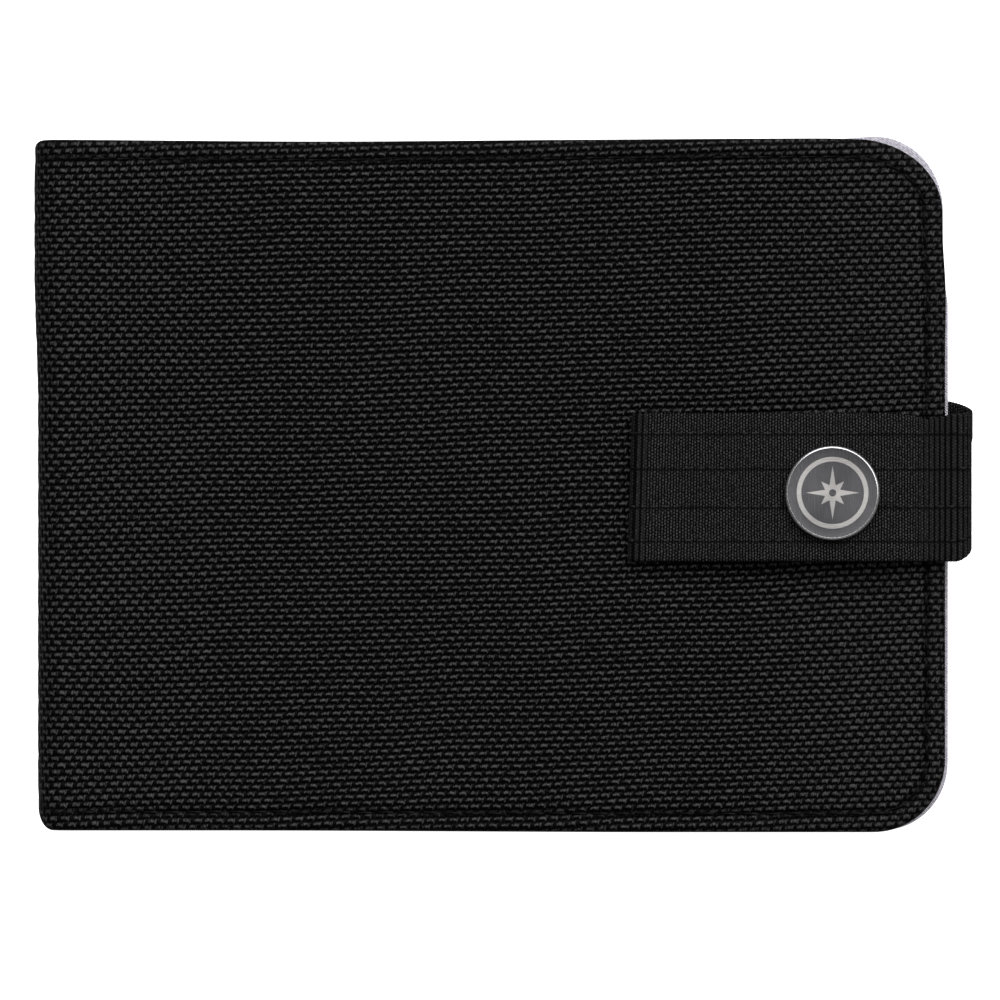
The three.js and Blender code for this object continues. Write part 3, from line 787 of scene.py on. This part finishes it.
def front_shift(t):
    """The front's free edge isn't quite straight."""
    t = t / MM
    return (0.08 + 0.12 * bell(t - 28, 5) - 0.38 * smooth(t, 30, 40)) * MM


def back_shift(t):
    t = t / MM
    return (-0.22 - 0.75 * smooth(t, 28, 33)) * MM


def long_edges(s, corner_rise):
    """How far the (lower, upper) long edges stand out past the height of the cover's ends. The
    upper one rises by corner_rise at the free corner."""
    s = s / MM
    low = 0.26 * smooth(s, -45, 25) * MM
    high = (0.10 - 0.36 * bell(s + 28, 34) + 0.12 * smooth(s, 10, 55)) * MM
    return low, high + corner_rise * smooth(s, 48, 58)


def half_edge(right, corners, shift, corner_rise, inset=0.0):
    """The free edge of a half's pattern, from the middle of the spine along the bottom and round
    to the top, and the line that closes it. inset makes the pattern smaller."""
    high = HALF_HEIGHT - inset
    low_radius, top_radius, top_drop = (r - inset for r in (corners[0], *corners[1]))
    t = np.linspace(low_radius - high, high - top_drop, 60)
    side = np.stack([right - inset + shift(t), t], axis=1)
    low_s = np.linspace(PATTERN_END, side[0, 0] - low_radius, 220)
    top_s = np.linspace(side[-1, 0] - top_radius, PATTERN_END, 220)
    low = np.stack([low_s, fold_dip(low_s, *FOLD_LOW) - high - long_edges(low_s, 0)[0]], axis=1)
    top = np.stack([top_s, high - fold_dip(top_s, *FOLD_TOP) + long_edges(top_s, corner_rise)[1]], axis=1)
    low_corner = arc((low_s[-1], side[0, 1]), (low_radius, side[0, 1] - low[-1, 1]), 270, 360, 23)
    top_corner = arc((top_s[0], side[-1, 1]), (top_radius, top[0, 1] - side[-1, 1]), 0, 90, 23)
    line = np.concatenate([low[:-1], low_corner, side[1:-1], top_corner, top[1:]])
    line = resampled(line, EDGE_STEP)
    join_t = np.linspace(line[-1, 1], line[0, 1], 68)[1:-1]
    return line, np.stack([np.full(len(join_t), PATTERN_END), join_t], axis=1)


def inflated(edge, join, held, most):
    """Heights that air would give a cover that is sewn down along its edge, as a function of
    (s, t), from a cloth simulation in the flat pattern, drawn down to the height most."""
    pattern = Pattern(edge, (1.6, 3.2), 4 * MM, join)
    sewn = pattern.distance < SEAM_WIDTH
    pad = pattern.panel("cover_pad", level_chart(0), np.where(sewn, 0.0, 0.25 * MM), -1.5 * MM)
    fixed = sewn | (pattern.points[:, 0] < BEND_X) | held(*pattern.points.T)
    count = len(fixed)
    group = pad.vertex_groups.new(name="sewn")
    group.add([i for i in range(2 * count) if i >= count or fixed[i]], 1.0, "REPLACE")
    cloth = pad.modifiers.new("cloth", "CLOTH")
    cloth.settings.quality = 5
    cloth.settings.mass = 0.3
    cloth.settings.tension_stiffness = 40
    cloth.settings.compression_stiffness = 40
    cloth.settings.bending_stiffness = 2
    cloth.settings.use_pressure = True
    cloth.settings.uniform_pressure_force = 4
    cloth.settings.vertex_group_mass = "sewn"
    cloth.settings.effector_weights.gravity = 0
    cloth.collision_settings.use_collision = False
    cloth.point_cache.frame_start, cloth.point_cache.frame_end = 1, 20
    for frame_number in range(1, 21):
        scene.frame_set(frame_number)
    pad.modifiers.new("smooth", "SUBSURF").levels = 2
    shape = pad.evaluated_get(bpy.context.evaluated_depsgraph_get()).data
    tree = BVHTree.FromPolygons([v.co for v in shape.vertices], [p.vertices for p in shape.polygons])
    scene.frame_set(1)
    bpy.data.objects.remove(pad)

    def height(s, t):
        found = [tree.ray_cast(Vector((a, b, 1)), Vector((0, 0, -1)))[0] for a, b in zip(s, t)]
        return np.array([max(p.z, 0) if p else 0 for p in found])

    peak = height(*pattern.points.T).max()
    print("cover_pad: the simulation rose", round(peak / MM, 2), "mm")
    return lambda s, t: height(s, t) * min(1, most / peak)


def under_strap(s, t):
    """1 where the strap holds the front cover down."""
    across = 1 - smooth(abs(t - SNAP.y), 11 * MM, 17 * MM)
    return across * smooth(s, flap_low.x - 5 * MM, flap_low.x + 1 * MM)


def snap_dimple(s, t):
    """1 where the stud draws the front cover in."""
    return 1 - smooth(np.hypot(s - SNAP.x, t - SNAP.y), 6.6 * MM, 9.5 * MM)


front_edge, join = half_edge(FRONT_RIGHT, FRONT_CORNERS, front_shift, FRONT_RISE)
back_edge, _ = half_edge(BACK_RIGHT, BACK_CORNERS, back_shift, BACK_RISE)
back_cover_edge, _ = half_edge(BACK_RIGHT - RIM_BACK, BACK_CORNERS, back_shift, BACK_RISE - 0.15 * MM)
front_lining_edge, lining_join = half_edge(
    FRONT_RIGHT - 0.25 * MM, FRONT_CORNERS, front_shift, FRONT_RISE, 0.3 * MM
)
crown = inflated(front_edge, join, lambda s, t: snap_dimple(s, t) > 0.5, 0.45 * MM)


def rise(side, s, t):
    """How far a cover's face stands up from its flat shape."""
    if side == BACK:
        return np.zeros_like(s)
    padded = crown(s, t) * (1 - 0.65 * under_strap(s, t))
    padded = padded + 0.05 * MM * waves(s, t, 5, 38 * MM) * smooth(s, BEND_X, 0)
    dimple = snap_dimple(s, t)
    return padded * (1 - dimple) - 0.6 * MM * dimple


def seam_pinch(distance, s, t, seed):
    """The stitched channel near the free edge, and its small puckers. Both fade at the fold."""
    pucker = 0.045 * MM * bell(distance - STITCH_INSET, 2.2 * MM) * waves(s, t, seed, 7 * MM)
    groove = CHANNEL * bell(distance - STITCH_INSET, 0.62 * MM)
    outside = 0.10 * MM * (1 - smooth(distance, 1.8 * MM, 2.8 * MM))
    return (pucker - groove - outside) * mix(0.12, 1.0, smooth(s, BEND_X - 3 * MM, BEND_X + 3 * MM))


def fold_blend(piece, side):
    """Bakes the piece's transform into its mesh, the same for either side."""
    if side == FRONT:
        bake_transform(piece)
    else:
        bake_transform(piece)


def cover(name, side, edge, seed):
    """One half's outer fabric, from the middle of the spine to the free edge."""
    insets = (0.1, 0.25, 0.45, 0.7, 1.0, 1.4, 1.8, 2.15, 2.45, 2.7, 2.95, 3.2, 3.5, 3.9, 4.6)
    pattern = Pattern(edge, insets, 1.6 * MM, join)
    s, t = pattern.points.T
    distance = pattern.distance
    top = seam_pinch(distance, s, t, seed) + rise(side, s, t) - rolled(distance, EDGE_ROLL)
    turned_edge = 1 - smooth(distance, SEAM_WIDTH - 0.5 * MM, SEAM_WIDTH)
    flat = smooth(s, FLAT_LEFT, FLAT_LEFT + 1.5 * MM)
    bottom = rolled(distance, 0.35 * MM) - mix(SHELL, SEAM_DEPTH[side], flat * turned_edge)
    bottom = np.minimum(bottom, top - 0.15 * MM)
    piece = pattern.panel(name, cover_chart(side), top, bottom, flip=side == BACK)
    finish_piece(piece, "ballistic_nylon")
    fold_blend(piece, side)
    return piece


def lining_depth(side, s):
    """How deep under the cover's face the lining starts."""
    return mix(BEND_LINING_DEPTH, LINING_DEPTH[side], smooth(s, FLAT_LEFT, FLAT_LEFT + 1 * MM))


def lining(name, side, edge, join, seed):
    pattern = Pattern(edge, (0.06, 0.15, 0.4, 1.0, 1.8, 2.6, 3.4), 2.4 * MM, join)
    s, t = pattern.points.T
    depth = lining_depth(side, s)
    pucker = 1 + 0.4 * waves(s, t, seed, 9 * MM)
    drawn_in = 0.05 * MM * bell(pattern.distance - STITCH_INSET, 0.5 * MM) * pucker
    top = -depth - rolled(pattern.distance, 0.15 * MM)
    bottom = rolled(pattern.distance, 0.19 * MM) - depth - LINING + drawn_in
    piece = pattern.panel(name, cover_chart(side), top, bottom, flip=side == BACK)
    finish_piece(piece, "lining_twill")
    fold_blend(piece, side)
    return piece


def seam_line(edge, inset, nearest):
    """The line at inset inside a free edge, as far as it stays at least nearest away from it."""
    line = edge + inward(edge) * inset
    return resampled(line[edge_distance(line, edge)[0] > nearest], 0.4 * MM)


def cover_stitches(name, side, edge, seed):
    """The thread in a cover's channel, from one end of the fold's middle round to the other."""
    line = seam_line(edge, STITCH_INSET, STITCH_INSET * 0.97)
    rng = np.random.default_rng(seed)
    runs = stitch_runs(line, STITCH_PITCH, STITCH_LENGTH, 0.16 * MM, seed)
    for run in runs:
        run[:, :2] += rng.uniform(-0.07, 0.07, 2) * MM
        run[:, 2] += rise(side, *run.T[:2]) + 0.1 * MM - CHANNEL
    fold_blend(sew(name, runs, cover_chart(side), 0.17 * MM, "ballistic_nylon", side == BACK), side)


def lining_stitches(name, side, edge, seed):
    """The same seam on a lining, seen when the wallet is open."""
    line = seam_line(edge, STITCH_INSET - 0.1 * MM, STITCH_INSET * 0.9)
    runs = stitch_runs(line, STITCH_PITCH, STITCH_LENGTH, 0.14 * MM, seed)
    for run in runs:
        run[:, 2] = -lining_depth(side, run[:, 0]) - LINING - (run[:, 2] - 0.02 * MM)
    fold_blend(sew(name, runs, cover_chart(side), 0.15 * MM, "lining_twill", side == BACK), side)


front_cover = cover("front_cover", FRONT, front_edge, 11)
back_cover = cover("back_cover", BACK, back_cover_edge, 12)
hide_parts("front_cover_shell", "spine_cover")
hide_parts("back_cover_shell")

front_lining = lining("front_inner_lining", FRONT, front_lining_edge, lining_join, 21)
back_lining = lining("back_inner_lining", BACK, back_edge, join, 22)
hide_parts("front_lining")
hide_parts("back_lining", "spine_lining")

cover_stitches("front_seam_thread", FRONT, front_edge, 31)
cover_stitches("back_seam_thread", BACK, back_cover_edge, 32)

# ---------------------------------------------------------------- strap

PLY = 0.9 * MM  # thickness of one ply of webbing
PLY_GAP = 0.2 * MM  # between the flap's two plies
STRAP_LOW, STRAP_HIGH = flap_low.y, flap_high.y - 0.25 * MM
STRAP_WIDTH = STRAP_HIGH - STRAP_LOW
STRAP_BEND = 3.0 * MM  # radius of the middle of the webbing in the strap's bends
STRAP_BEND_X = loop_high.x - PLY / 2 - 0.4 * MM - STRAP_BEND
TAIL_Z = tail_low.z + PLY / 2
LOWER_BEND_Z = TAIL_Z + STRAP_BEND
CREST_Z = flap_high.z - PLY / 2  # the outer ply over the snap
TURNED_Z = CREST_Z - PLY - PLY_GAP  # the ply under it
TIP_OUTER_Z = 14.3 * MM
TIP_INNER_Z = 13.25 * MM
ROUND_EDGE_Z = 14.0 * MM  # the flap where it comes round the covers' free edge
UPPER_BEND_Z = ROUND_EDGE_Z - STRAP_BEND
SNAP_LEVEL = 8.5 * MM  # the flap is level this far each side of the snap
TIP_TURN = (TIP_OUTER_Z - TIP_INNER_Z) / 2
TIP_X = flap_low.x + PLY / 2 + TIP_TURN - 0.1 * MM
TIP_FLAT = 3 * MM
SKEW = 2.0 * MM  # the tail lies this much higher than the flap
RIB = 0.443 * MM
WEB_LINES = (7.9, 2.5, -3.4, -8.6)  # its lengthwise lines' places across it, in millimetres
WEB_LIGHT = (0.057, 0.056, 0.058)
EASE_STEPS, TIP_STEPS = 24, 20


def eased(x0, z0, x1, z1):
    share = np.linspace(0, 1, EASE_STEPS)
    return np.stack([mix(x0, x1, share), mix(z0, z1, smooth(share, 0, 1))], axis=1)


def strap_bend(z, start):
    return arc((STRAP_BEND_X, z), (STRAP_BEND, STRAP_BEND), start, start + 90, EASE_STEPS)


past_snap, before_snap = SNAP.x - SNAP_LEVEL, SNAP.x + SNAP_LEVEL
strap_path = np.concatenate([
    eased(tail_low.x, TAIL_Z, STRAP_BEND_X - 0.1 * MM, TAIL_Z),
    strap_bend(LOWER_BEND_Z, -90),
    strap_bend(UPPER_BEND_Z, 0),
    eased(STRAP_BEND_X - 1 * MM, ROUND_EDGE_Z, before_snap, CREST_Z),
    eased(past_snap, CREST_Z, TIP_X + TIP_FLAT, TIP_OUTER_Z),
    arc((TIP_X, (TIP_OUTER_Z + TIP_INNER_Z) / 2), (TIP_TURN, TIP_TURN), 90, 270, TIP_STEPS),
    eased(TIP_X + TIP_FLAT, TIP_INNER_Z, past_snap, TURNED_Z),
    eased(past_snap + 0.5 * MM, TURNED_Z, before_snap, TURNED_Z),
])
strap_along = lengths_along(strap_path)
LOWER_AT, TIP_AT, END_AT = strap_along[[EASE_STEPS, 5 * EASE_STEPS + TIP_STEPS // 2, -1]]
MIDDLE_AT = LOWER_AT + STRAP_BEND * math.pi / 2 + (UPPER_BEND_Z - LOWER_BEND_Z) / 2
UPPER_AT = MIDDLE_AT + STRAP_BEND * math.pi / 2 + (UPPER_BEND_Z - LOWER_BEND_Z) / 2
OPEN_RIBS = ((UPPER_AT + 0.5 * MM, 5.5 * MM), (TIP_AT - 1.2 * MM, 1.7 * MM))  # (place, reach)
strap_drift = SKEW * (1 - smooth(strap_along, LOWER_AT - 1 * MM, MIDDLE_AT - 0.5 * MM))
plain_strap = ribbon_chart(strap_path, strap_drift)


def strap_chart(s, t, h):
    """The strap's own chart: its tip leans a little and its loop bulges where the tail sits higher."""
    place = plain_strap(s, t, h)
    s, t, _ = arrays(s, t, h)
    near_tip = smooth(s, UPPER_AT, UPPER_AT + 5 * MM) * (1 - smooth(place[..., 0], TIP_X, TIP_X + 14 * MM))
    place[..., 0] += 0.62 * MM * ((t - STRAP_LOW) / STRAP_WIDTH - 0.85) * near_tip
    # round the free edge the webbing's lower edge curls up
    on_loop = smooth(s, LOWER_AT, MIDDLE_AT - 1.5 * MM)
    on_loop = on_loop * (1 - smooth(s, UPPER_AT - 5.5 * MM, UPPER_AT - 0.8 * MM))
    place[..., 1] += 1.7 * MM * on_loop * (1 - smooth(t, STRAP_LOW, STRAP_LOW + 9 * MM))
    low_turn = bell(s - (LOWER_AT + 4.2 * MM), 2.6 * MM)
    place[..., 0] += 0.5 * MM * smooth(t, 5.4 * MM, 6.6 * MM) * low_turn
    # the flap's upper edge dips towards the cover beside the free edge
    beside = bell(s - (UPPER_AT + 3.2 * MM), 3.0 * MM)
    place[..., 1] -= 0.9 * MM * smooth(t, STRAP_HIGH - 3.2 * MM, STRAP_HIGH) * beside
    return place


def webbing(name, start, end, columns):
    """A length of the strap from s start to end, ribbed across, with rounded woven edges."""
    s = np.linspace(start, end, round((end - start) / (0.11 * MM)) + 1)
    share = np.linspace(-1, 1, columns)
    share = np.sign(share) * (1 - (1 - abs(share)) ** 1.35)  # columns crowd towards the two edges
    S, T = np.meshgrid(s, (STRAP_LOW + STRAP_HIGH) / 2 + share * STRAP_WIDTH / 2, indexing="ij")
    from_side = STRAP_WIDTH / 2 * (1 - abs(share))[None, :] + 0 * S
    rib = np.cos(2 * math.pi * (S + 0.05 * MM * waves(S, T, 41, 9 * MM)) / RIB)
    open_rib = np.cos(math.pi * S / RIB)
    on_bend = np.clip(sum(bell(s - at, width) for at, width in OPEN_RIBS), 0, 1)[:, None]
    lines = sum(bell(T - at * MM, 0.25 * MM) for at in WEB_LINES)
    ribs = 0.032 * MM * rib * (1 - 0.5 * on_bend) + 0.075 * MM * open_rib * on_bend - 0.02 * MM * lines
    body = PLY / 2 - rolled(from_side, 0.40 * MM)
    T = T + np.sign(T - T.mean()) * 0.03 * MM * rib * (1 - smooth(from_side, 0.0, 0.5 * MM))
    upper, lower = strap_chart(S, T, body + ribs * 0.6), strap_chart(S, T, -body - ribs)
    n = S.size
    at = np.arange(n).reshape(S.shape)
    top = np.stack([at[:-1, :-1], at[1:, :-1], at[1:, 1:], at[:-1, 1:]], axis=-1).reshape(-1, 4)
    ring = np.concatenate([at[:, 0], at[-1, 1:], at[-2::-1, -1], at[0, -2:0:-1]])
    sides = [[q, p, p + n, q + n] for p, q in zip(ring, np.roll(ring, -1))]
    points = np.concatenate([upper.reshape(-1, 3), lower.reshape(-1, 3)])
    uv = np.tile(np.stack([S, T], axis=-1).reshape(-1, 2), (2, 1))
    piece = make_piece(name, points, top.tolist() + (top[:, ::-1] + n).tolist() + sides, uv)
    finish_piece(piece, "strap_webbing")
    return piece


open_ribs = [(at / MM, reach / MM) for at, reach in OPEN_RIBS]
paints["strap_webbing"] = tape("strap_webbing", RIB / MM, WEB_LIGHT, WEB_LINES, open_ribs)
strap_tail = webbing("strap_tail_and_lower_bend", 0, MIDDLE_AT, 38)
strap_flap = webbing("strap_flap_and_upper_bend", MIDDLE_AT, END_AT, 42)
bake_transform(strap_tail)
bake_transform(strap_flap)
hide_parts("strap_tail", "strap_bridge")
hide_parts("strap_flap")

# ---------------------------------------------------------------- snap

CAP_RADIUS = (cap_high.x - cap_low.x) / 2
CAP_TOP, CAP_LOW = cap_high.z, 16.5 * MM
CAP_ROUND = 0.55 * MM  # of its upper edge
CAP_HEM = 0.30 * MM  # of its lower edge
POST_RADIUS, POST_LENGTH = 1.5 * MM, 3.2 * MM
RIM = CAP_RADIUS - 0.42 * MM  # the rim, in a lighter copy of the cap's steel that paints the highlight on its bevel, is outside this radius
RING_RADIUS = 5.54 * MM
RING_WIDTH = 0.75 * MM
INLAY_LOW = CAP_TOP - 0.12 * MM

steel_face = steel("snap_steel", (0.086, 0.084, 0.089), (0.172, 0.168, 0.176), 0.42)
# a lighter copy of the cap's steel for the rim: a painted highlight on the bevel
rim_highlight_steel = steel("snap_rim_highlight_steel", (0.50, 0.50, 0.51), (0.70, 0.70, 0.71), 0.27, grain=0.004)
steel_inlay = steel("snap_inlay_steel", (0.42, 0.405, 0.395), (0.60, 0.582, 0.570), 0.50, False, 0.03)
steel_works = steel("snap_works_steel", (0.22, 0.22, 0.225), (0.36, 0.36, 0.365), 0.30, grain=0.01)

# (radius, z) from the post's end out to the hem, up the side and in over the face, which is dished
cap_profile = [
    (0, CAP_LOW - POST_LENGTH),
    (POST_RADIUS - 0.3 * MM, CAP_LOW - POST_LENGTH),
    (POST_RADIUS, CAP_LOW - POST_LENGTH + 0.2 * MM),
    (POST_RADIUS, CAP_LOW),
    (CAP_RADIUS - 0.9 * MM, CAP_LOW + 0.02 * MM),
    *arc((CAP_RADIUS - CAP_HEM, CAP_LOW + 0.32 * MM), (CAP_HEM, CAP_HEM), -95, 0, 10),
    *arc((CAP_RADIUS - CAP_ROUND, CAP_TOP - 0.58 * MM), (CAP_ROUND, CAP_ROUND), 0, 72, 16),
    (RIM, CAP_TOP - 0.065 * MM),
    (RING_RADIUS, CAP_TOP - 0.06 * MM),
    (RING_RADIUS - RING_WIDTH, CAP_TOP - 0.055 * MM),
    (3 * MM, CAP_TOP - 0.05 * MM),
    (0, CAP_TOP - 0.05 * MM),
]
cap = lathe("snap_cap_turned", cap_profile, SNAP)
cap.data.materials.append(steel_face)
cap.data.materials.append(rim_highlight_steel)
# the rim's faces take the lighter steel, the painted highlight
for polygon in cap.data.polygons:
    if math.hypot(polygon.center.x - SNAP.x, polygon.center.y - SNAP.y) > RIM:
        polygon.material_index = 1
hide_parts("snap_cap")
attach(cap, "strap_end")


def inlay(name, outer, inner, high):
    """A thin raised band between two closed loops of as many (x, y) points, with a soft upper edge."""
    soft = 0.03 * MM
    middle = (outer + inner) / 2
    reach = np.linalg.norm(outer - middle, axis=1).max()
    loops = (inner, outer, outer, mix(outer, middle, soft / reach), mix(inner, middle, soft / reach), inner)
    levels = (INLAY_LOW, INLAY_LOW, high - soft, high, high, high - soft)
    points = np.concatenate([np.insert(loop, 2, level, axis=1) for loop, level in zip(loops, levels)])
    faces = [f[::-1] for f in tube_faces(len(loops), len(outer), closed=True)]
    piece = make_piece(name, points, faces, points[:, :2], sharp=25)
    piece.data.materials.append(steel_inlay)
    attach(piece, "strap_end")


def ring_loop(radius, count=128):
    return arc(SNAP, (radius, radius), 90, 450, count + 1)[:-1]


def star_loop(long, short, waist):
    """A compass star: four long points, four short ones, and the waists between."""
    radius = np.array([long, waist, short, waist] * 4 + [long])
    loop = arc((0, 0), (radius, radius), 90, 450, 17) + np.array(SNAP.xy)
    share = np.arange(0, 16, 0.25)
    return np.stack([np.interp(share, range(17), axis) for axis in loop.T], axis=1)


inlay("snap_ring_inlay", ring_loop(RING_RADIUS), ring_loop(RING_RADIUS - RING_WIDTH), CAP_TOP - 0.01 * MM)
inlay("snap_star_inlay", star_loop(4.15 * MM, 2.5 * MM, 1.25 * MM), ring_loop(0.55 * MM, 64), CAP_TOP)

for node, material in (
    ("snap_stud", steel_works),
    ("snap_socket", steel_works),
    ("snap_spring", rim_highlight_steel),
    ("stud_backing", steel_works),
    ("front_stiffener", paints["stiffener_board"]),
    ("back_stiffener", paints["stiffener_board"]),
):
    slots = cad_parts[node].data.materials
    if not slots:
        slots.append(material)
    for i in range(len(slots)):
        slots[i] = material

# ---------------------------------------------------------------- pockets

BINDING = 3 * MM  # how far a mouth's tape reaches down
PANEL_STEP = 0.9 * MM
SQUARE = 1 * MM  # radius of a panel's small corners
DIVIDER_ROUND = 9.5 * MM  # radius where a panel follows the front half's lower corner
POCKET_ROUND = 7.4 * MM
POCKET_PITCH = 2.9 * MM  # of the pockets' stitches
PLATE = 0.4 * MM  # thickness of the passport pocket's front
THUMB_RADIUS, THUMB_ABOVE = 34 * MM, 26 * MM  # the thumb cut, and its centre above the mouth
PLEAT_DEPTH, PLEAT_THICK, PLEAT_INSET = 1.3 * MM, 0.28 * MM, 0.15 * MM
SEAM_X = 27.7 * MM  # the upright seam that closes the card slots
SEAM_REACH = 11 * MM  # how far down from a slot's mouth it shows
THREAD_OUT = 0.05 * MM  # how far the threads' middle lies off the fabric


def rounded_box(left, right, low, high, round_right):
    """An open outline from the upper left corner down, along the bottom and up to the upper right."""
    low_left = arc((left + SQUARE, low + SQUARE), (SQUARE, SQUARE), 180, 270, 11)
    low_right = arc((right - round_right, low + round_right), (round_right, round_right), 270, 360, 13)
    return resampled(np.concatenate([[(left, high)], low_left, low_right, [(right, high)]]), PANEL_STEP)


def mouth_line(left, right, high, thumb_x=None):
    """The mouth's line from the upper right corner back to the left, with a thumb cut at thumb_x."""
    x = np.linspace(right, left, round((right - left) / PANEL_STEP) + 1)
    y = np.full(len(x), high)
    if thumb_x is not None:
        across = x - thumb_x
        cut = high + THUMB_ABOVE - np.sqrt(np.clip(THUMB_RADIUS**2 - across**2, 0, None))
        y = np.where(abs(across) < THUMB_RADIUS, np.minimum(y, cut), y)
    return np.stack([x, y], axis=1)


def fabric_panel(name, outline, body, z_low, z_high, seed, crown_height=0.0):
    """A thin flat panel of fabric with soft edges."""
    pattern = Pattern(outline, (0.08, 0.25, 0.7, 1.4), 3.2 * MM)
    distance = pattern.distance
    half = (z_high - z_low) / 2
    swell = crown_height * smooth(distance, 0, 18 * MM) + 0.02 * MM * waves(*pattern.points.T, seed, 24 * MM)
    swell = swell * smooth(distance, 0, 4 * MM)
    edge = rolled(distance, 0.16 * MM)
    piece = pattern.panel(name, level_chart((z_low + z_high) / 2), half - edge + swell, edge - half + swell)
    finish_piece(piece, "pocket_nylon")
    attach(piece, body)
    return piece


def tape_strip(name, mouth, body, z_low, z_high, proud):
    """Binding tape folded over a mouth: a soft band below the line, proud on both faces, and its
    lower line."""
    upper = mouth[::-1]
    lower = upper - [0, BINDING]
    if np.ptp(mouth[:, 1]) > 1 * MM:  # a thumb cut
        lower[1:-1] = (upper - inward(upper) * BINDING)[1:-1]
    pattern = Pattern(np.concatenate([lower, mouth]), (0.06, 0.18, 0.45), 1.0 * MM)
    half = (z_high - z_low) / 2 + proud
    edge = rolled(pattern.distance, 0.22 * MM)
    piece = pattern.panel(name, level_chart((z_low + z_high) / 2), half - edge, edge - half)
    finish_piece(piece, "binding_tape")
    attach(piece, body)
    return piece, lower


def flat_stitches(name, lines, level, out, body, seed):
    """Rows of stitches on flat fabric at height level, on the side that out points to, 1 up or -1
    down."""
    runs = []
    for i, line in enumerate(lines):
        line = resampled(line, 0.5 * MM)
        runs += stitch_runs(line, POCKET_PITCH, POCKET_PITCH * 0.8, 0.15 * MM, seed + i)
    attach(sew(name, runs, level_chart(level, out), 0.14 * MM, "binding_tape", out < 0), body)


def gusset(name, line, low, high, body):
    """A pleated wall that follows a line: it folds inwards between its two edges."""
    share = np.linspace(0, 1, 17)
    fold = PLEAT_DEPTH * (0.5 - 0.5 * np.cos(share * 2 * math.pi)) ** 0.8
    height = mix(low, high, share)
    offsets = np.concatenate([fold, fold[::-1] + PLEAT_THICK])
    levels = np.concatenate([height, height[::-1]])
    ruffle = 0.07 * MM * waves(*line.T, 61, 14 * MM)
    reach = offsets + PLEAT_INSET + ruffle[:, None] * np.sin(math.pi * (levels - low) / (high - low))
    at = line[:, None] + inward(line)[:, None] * reach[..., None]
    points = np.concatenate([at, np.broadcast_to(levels[:, None], (*reach.shape, 1))], axis=2)
    uv = np.stack([np.repeat(lengths_along(line), len(levels)), np.tile(levels, len(line))], axis=1)
    piece = make_piece(name, points.reshape(-1, 3), tube_faces(len(line), len(levels)), uv)
    finish_piece(piece, "pocket_nylon")
    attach(piece, body)
    return piece


def bound_panel(node, title, body, thick, round_right, seed, proud, thumb=False):
    """A node's panel and the tape on its mouth: (panel, its edge, the tape's lower line)."""
    low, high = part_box(node)
    mouth_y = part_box(node + "_binding")[1].y
    edge = rounded_box(low.x, high.x, low.y, mouth_y, round_right)
    mouth = mouth_line(low.x, high.x, mouth_y, (low.x + high.x) / 2 if thumb else None)
    outline = np.concatenate([edge[:-1], mouth[:-1]])
    z_low = high.z - thick if thick else low.z
    panel = fabric_panel(title, outline, body, z_low, high.z, seed, -0.05 * MM if thumb else 0.0)
    strip, strip_line = tape_strip(node + "_mouth_tape", mouth, body, z_low, high.z, proud)
    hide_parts(node + "_binding")
    return panel, edge, strip_line


_, edge, strip_line = bound_panel(
    "passport_pocket", "passport_pocket_front", "back_half", PLATE, POCKET_ROUND, 51, 0.09 * MM,
    thumb=True,
)
pocket_low, pocket_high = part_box("passport_pocket")
wall = gusset("passport_pocket_gusset", edge, pocket_low.z, pocket_high.z - PLATE, "back_half")
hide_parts("passport_pocket")
lines = [edge + inward(edge) * 1.1 * MM, strip_line + [0, 0.7 * MM]]
flat_stitches("passport_pocket_thread", lines, pocket_high.z + THREAD_OUT, 1, "back_half", 71)

for i, (node, round_right) in enumerate((
    ("banknote_divider", DIVIDER_ROUND),
    ("card_slot_3", SQUARE),
    ("card_slot_2", SQUARE),
    ("card_slot_1", DIVIDER_ROUND),
)):
    panel, edge, strip_line = bound_panel(
        node, node + "_panel", "front_half", 0, round_right, 81 + i, 0.08 * MM
    )
    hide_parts(node)
    # the tape's stitches, the upright seam, and round the last panel the seam that holds them all
    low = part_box(node)[0]
    mouth_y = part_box(node + "_binding")[1].y
    last = node == "card_slot_1"
    seam_low = low.y + 2 * MM if last else max(low.y, mouth_y - SEAM_REACH) + 0.6 * MM
    lines = [strip_line + [0, 0.6 * MM]]
    if i:
        lines.append(np.array([(SEAM_X, seam_low), (SEAM_X, mouth_y - 0.6 * MM)]))
    if last:
        lines.append(edge + inward(edge) * 1.2 * MM)
    flat_stitches(node + "_thread", lines, low.z - THREAD_OUT, -1, "front_half", 91 + 7 * i)

lining_stitches("front_lining_thread", FRONT, front_lining_edge, 101)
lining_stitches("back_lining_thread", BACK, back_edge, 102)
